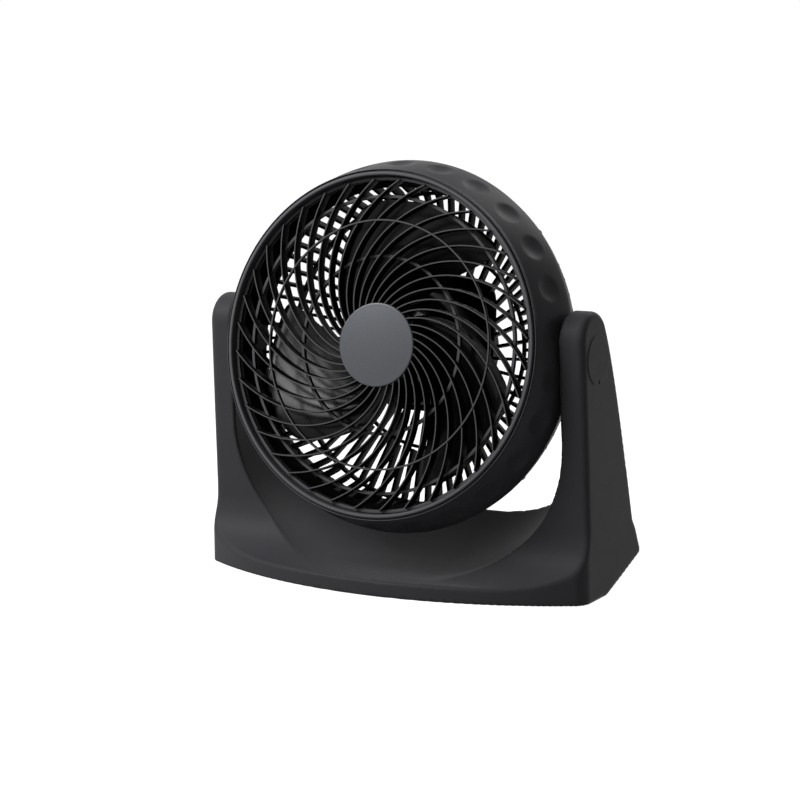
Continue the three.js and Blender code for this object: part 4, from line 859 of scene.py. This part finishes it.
# Blade
# One moulding of black polypropylene with a semi-gloss skin: three broad swept blades round a hollow hub,
# held on the shaft by a domed plastic nut.
blade_count, blade_tip, hub_front_radius, hub_rear_radius = 3, 115, 32, 35
blade_front, blade_rear_root, blade_rear_tip, arch_power = -29, 1, -5, 1.15
root_span, span_loss, lag, lag_easing, blade_phase = 94, 30, 72, 24, np.radians(122)
tip_start, tip_round, tip_tuck, tip_tuck_power = 0.92, 0.082, 0.06, 5


def blade_grid():
    """The blades: across, an angle about the axis that narrows with the radius and rounds off at the tip;
    along the axis, a sine that sweeps from the leading edge at the rear to the trailing edge in front; and
    a thickness that swells in the middle and closes on both edges, and at the tip."""
    inner = np.linspace(0, tip_start, 28)
    tip = 1 - (1 - tip_start) * np.linspace(0.9, 0, 12) ** 2
    out = np.concatenate([inner, tip])[:, None]
    radius = hub_front_radius - 1 + (blade_tip - hub_front_radius + 1) * out
    corner = np.sqrt(np.maximum(1 - (np.maximum(out - tip_start, 0) / tip_round) ** 2, 0))
    span = np.radians(root_span - span_loss * out) * (1 - tip_tuck * out ** tip_tuck_power)
    span = span * (0.75 + 0.25 * corner)
    edge = 0.5 - 0.5 * np.cos(np.linspace(0, np.pi, 30))
    share = np.concatenate([edge, edge[-2:0:-1]])
    face = np.concatenate([np.full(30, -1), np.full(28, 1)]) * np.sqrt(np.maximum(np.sin(share * np.pi), 0))
    thick = (0.5 + 0.5 * corner) * (1.15 - 0.3 * out)
    swept = np.radians(lag_easing * out ** 2 - lag * out) + span * (share - 0.5)
    starts = blade_phase + 2 * np.pi * np.arange(blade_count) / blade_count
    turn = swept[None] + starts[:, None, None]
    rear = blade_rear_root + (blade_rear_tip - blade_rear_root) * out
    middle = rear + (blade_front - rear) * np.maximum(np.sin(share * np.pi / 2), 0) ** arch_power
    grid, flat = about(radius, middle + face * thick, turn), about(radius, middle, turn)
    return np.concatenate([flat[:, :1], grid, flat[:, -1:]], axis=1)


hub_front, hub_rear, hub_inside, bore_radius, boss_radius = -30, 3, -27.6, 4.3, 9
hub = rounded([
    (bore_radius, hub_front, 0.3), (hub_front_radius, hub_front, 4.5), (hub_rear_radius, hub_rear, 0.6),
    (32.6, hub_rear, 0.5), (29.6, hub_inside, 3), (boss_radius, hub_inside, 0.8),
    (boss_radius, hub_rear, 0.5), (bore_radius, hub_rear, 0.3), (bore_radius, hub_front, 0)], 6)
nut_radius, nut_front, nut_seat = 8.5, -35.9, -30.3
nut = rounded([(0, -33.9, 0), (bore_radius, -33.9, 0), (bore_radius, nut_seat, 0),
               (nut_radius, nut_seat, 0.3), (nut_radius, -33.1, 1), (4, nut_front, 1), (0, nut_front, 0)])
blade_gloss = moulded_plastic("semi_gloss_polypropylene", "#0a0a0b", "#0e0e0f", 0.22, 0.16, 1.4, 0.004, 0.02)
blade = head_piece("swept_blades", [blade_grid(), turned(hub, 120), turned(nut, 48)], blade_gloss, 50)
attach(blade, "rotor")
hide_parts("fan_blade", "blade_nut")


# Control cover, knob and cord bush
# At the back a round cover of charcoal ABS closes off the wiring. It carries the fluted speed knob, with
# plain figures printed round it, and below it the rubber bush where a supply cord would enter.
cover_radius, cover_front, cover_back, cover_wall = 50, 59.3, 77.3, 2.2
cover_inside, spindle_hole = cover_back - cover_wall, 4.4
well_depth, well_inner, well_outer = 2.2, 3.5, 4.4
cover = rounded([
    (cover_radius, cover_front, 0), (cover_radius, cover_back, 7), (spindle_hole, cover_back, 0.3),
    (spindle_hole, cover_inside, 0.3), (cover_radius - cover_wall, cover_inside, 5),
    (cover_radius - cover_wall, cover_front, 0), (cover_radius, cover_front, 0)], 10)


def cover_grid():
    """The cover turned about Y, with its back face cut into finer rings so that the two screw wells can
    sink in it: each well is a smooth step in depth round its own middle."""
    round_end = 11
    face = np.column_stack([np.linspace(43, 5, 60), np.full(60, cover_back)])
    grid = turned(np.vstack([cover[:round_end], face, cover[round_end:]]), 180)
    for screw_name in cover_screws:
        low, high = head_box(screw_name)
        spot = beside(screw_name)
        near = np.hypot(grid[..., 0] - spot[0], grid[..., 2] - spot[2])
        well = (1 - smooth_step(near, well_inner, well_outer)) * (cover_back - high[1] + well_depth)
        grid[..., 1] -= np.where(grid[..., 1] > cover_back - 1.3, well, 0)
    return grid


control_cover = head_piece("control_housing", [cover_grid()], charcoal_abs, 50)
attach(control_cover, "head")
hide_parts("control_cover")

knob_front, knob_back, skirt_radius, skirt_back = 78.1, 93.1, 19, 81
flute_count, flute_depth, flute_power = 18, 0.8, 3


def knob_grid():
    """The grip: a turned profile whose wall, above the skirt, is drawn in by eighteen rounded flutes, the
    depth following the cosine of the angle raised to a power."""
    line = rounded([(3.3, knob_front, 0), (skirt_radius, knob_front, 0.5), (skirt_radius, skirt_back, 0.9),
                    (16.8, 81.2, 0.6), (15.6, knob_back, 1.3), (0, knob_back, 0)], 6)
    wall = np.linspace(line[-8], line[-7], 10)
    top = np.column_stack([np.linspace(line[-2][0], 0, 12), np.full(12, knob_back)])
    grid = turned(np.vstack([line[:-8], wall, line[-6:-1], top]), flute_count * 12)
    turn = np.arctan2(grid[..., 2], grid[..., 0])
    radius = np.hypot(grid[..., 0], grid[..., 2])
    flute = (0.5 + 0.5 * np.cos(flute_count * turn)) ** flute_power * flute_depth
    walls = smooth_step(grid[..., 1], 81.2, 82.5) * smooth_step(radius, 10, 15)
    return grid * (1 - (flute * walls / np.maximum(radius, 1))[..., None] * [1, 0, 1])


pointer_top, pointer_bottom, pointer_half, pointer_base = 93.9, 92.6, 0.8, 93.2
pointer_line = rounded([(0, pointer_top, 0), (pointer_half, pointer_top, 0.4),
                        (pointer_half, pointer_bottom, 0), (0, pointer_bottom, 0)], 5)
pointer_section = np.vstack([pointer_line, pointer_line[-2:0:-1] * [-1, 1]])
pointer_rows = np.array([1.0, 1.01, 13.2, 13.21])[:, None]
pointer_full = np.array([[0], [1], [1], [0]])
pointer_height = np.where(pointer_full > 0, pointer_section[:, 1], pointer_base)
pointer = np.stack([pointer_section[:, 0] * pointer_full, pointer_height,
                    pointer_rows + 0 * pointer_section[:, 1]], axis=-1)
knob = head_piece("fluted_knob", [knob_grid(), pointer], charcoal_abs, 50)
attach(knob, "knob")
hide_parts("speed_knob")

gland_low, gland_high = head_box("cord_gland")
gland_middle = (gland_low[1] + gland_high[1]) / 2
cord_bore, neck_radius, neck_start, flange_start, flange_end = 3.2, 5, 43.3, 50.3, 53.3
bush_line = rounded([
    (cord_bore, neck_start, 0), (neck_radius, neck_start, 0.3), (neck_radius, flange_start, 0),
    (7, flange_start, 0.4), (5.6, flange_end, 1.2), (cord_bore, flange_end, 0.5),
    (cord_bore, neck_start, 0)])
bush_grid = turned(bush_line, 48)
bush_grid = np.stack([bush_grid[..., 0], bush_grid[..., 2], -bush_grid[..., 1]], axis=-1)
bush_grid = bush_grid + np.array([0, gland_middle, 0])
bush = head_piece("cord_bush", [bush_grid], foot_rubber, 50)
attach(bush, "head")
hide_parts("cord_gland")

# The figures are pad-printed in pale grey ink, one for each position of the knob.
white_print = moulded_plastic("pad_printed_ink", "#a9abae", "#b4b6b8", 0.6, 0.4, 0.8, 0.01)
figure_height, ink_depth, ink_lift, figure_reach = 0.0058, 0.00004, 0.05, 24.5
for figure, angle in zip("0123", np.radians([90, 135, 180, 225])):
    curve = bpy.data.curves.new(f"figure_{figure}", "FONT")
    curve.body = figure
    curve.size = figure_height
    curve.align_x = "CENTER"
    curve.align_y = "CENTER"
    curve.extrude = ink_depth
    lettering = bpy.data.objects.new(f"figure_{figure}", curve)
    bpy.context.scene.collection.objects.link(lettering)
    bpy.context.view_layer.update()
    flat = bpy.data.meshes.new_from_object(lettering.evaluated_get(bpy.context.evaluated_depsgraph_get()))
    bpy.data.objects.remove(lettering)
    corners = np.empty(3 * len(flat.vertices))
    flat.vertices.foreach_get("co", corners)
    across, up, out = 1000 * corners.reshape(-1, 3).T
    on_cover = np.stack([-across, cover_back + ink_lift + out, up], axis=-1) + about(figure_reach, 0, angle)
    flat.vertices.foreach_set("co", (from_head(on_cover) / 1000).ravel())
    flat.update()
    flat.materials.clear()
    flat.materials.append(white_print)
    figure_piece = bpy.data.objects.new(f"figure_{figure}", flat)
    bpy.context.scene.collection.objects.link(figure_piece)
    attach(figure_piece, "head")
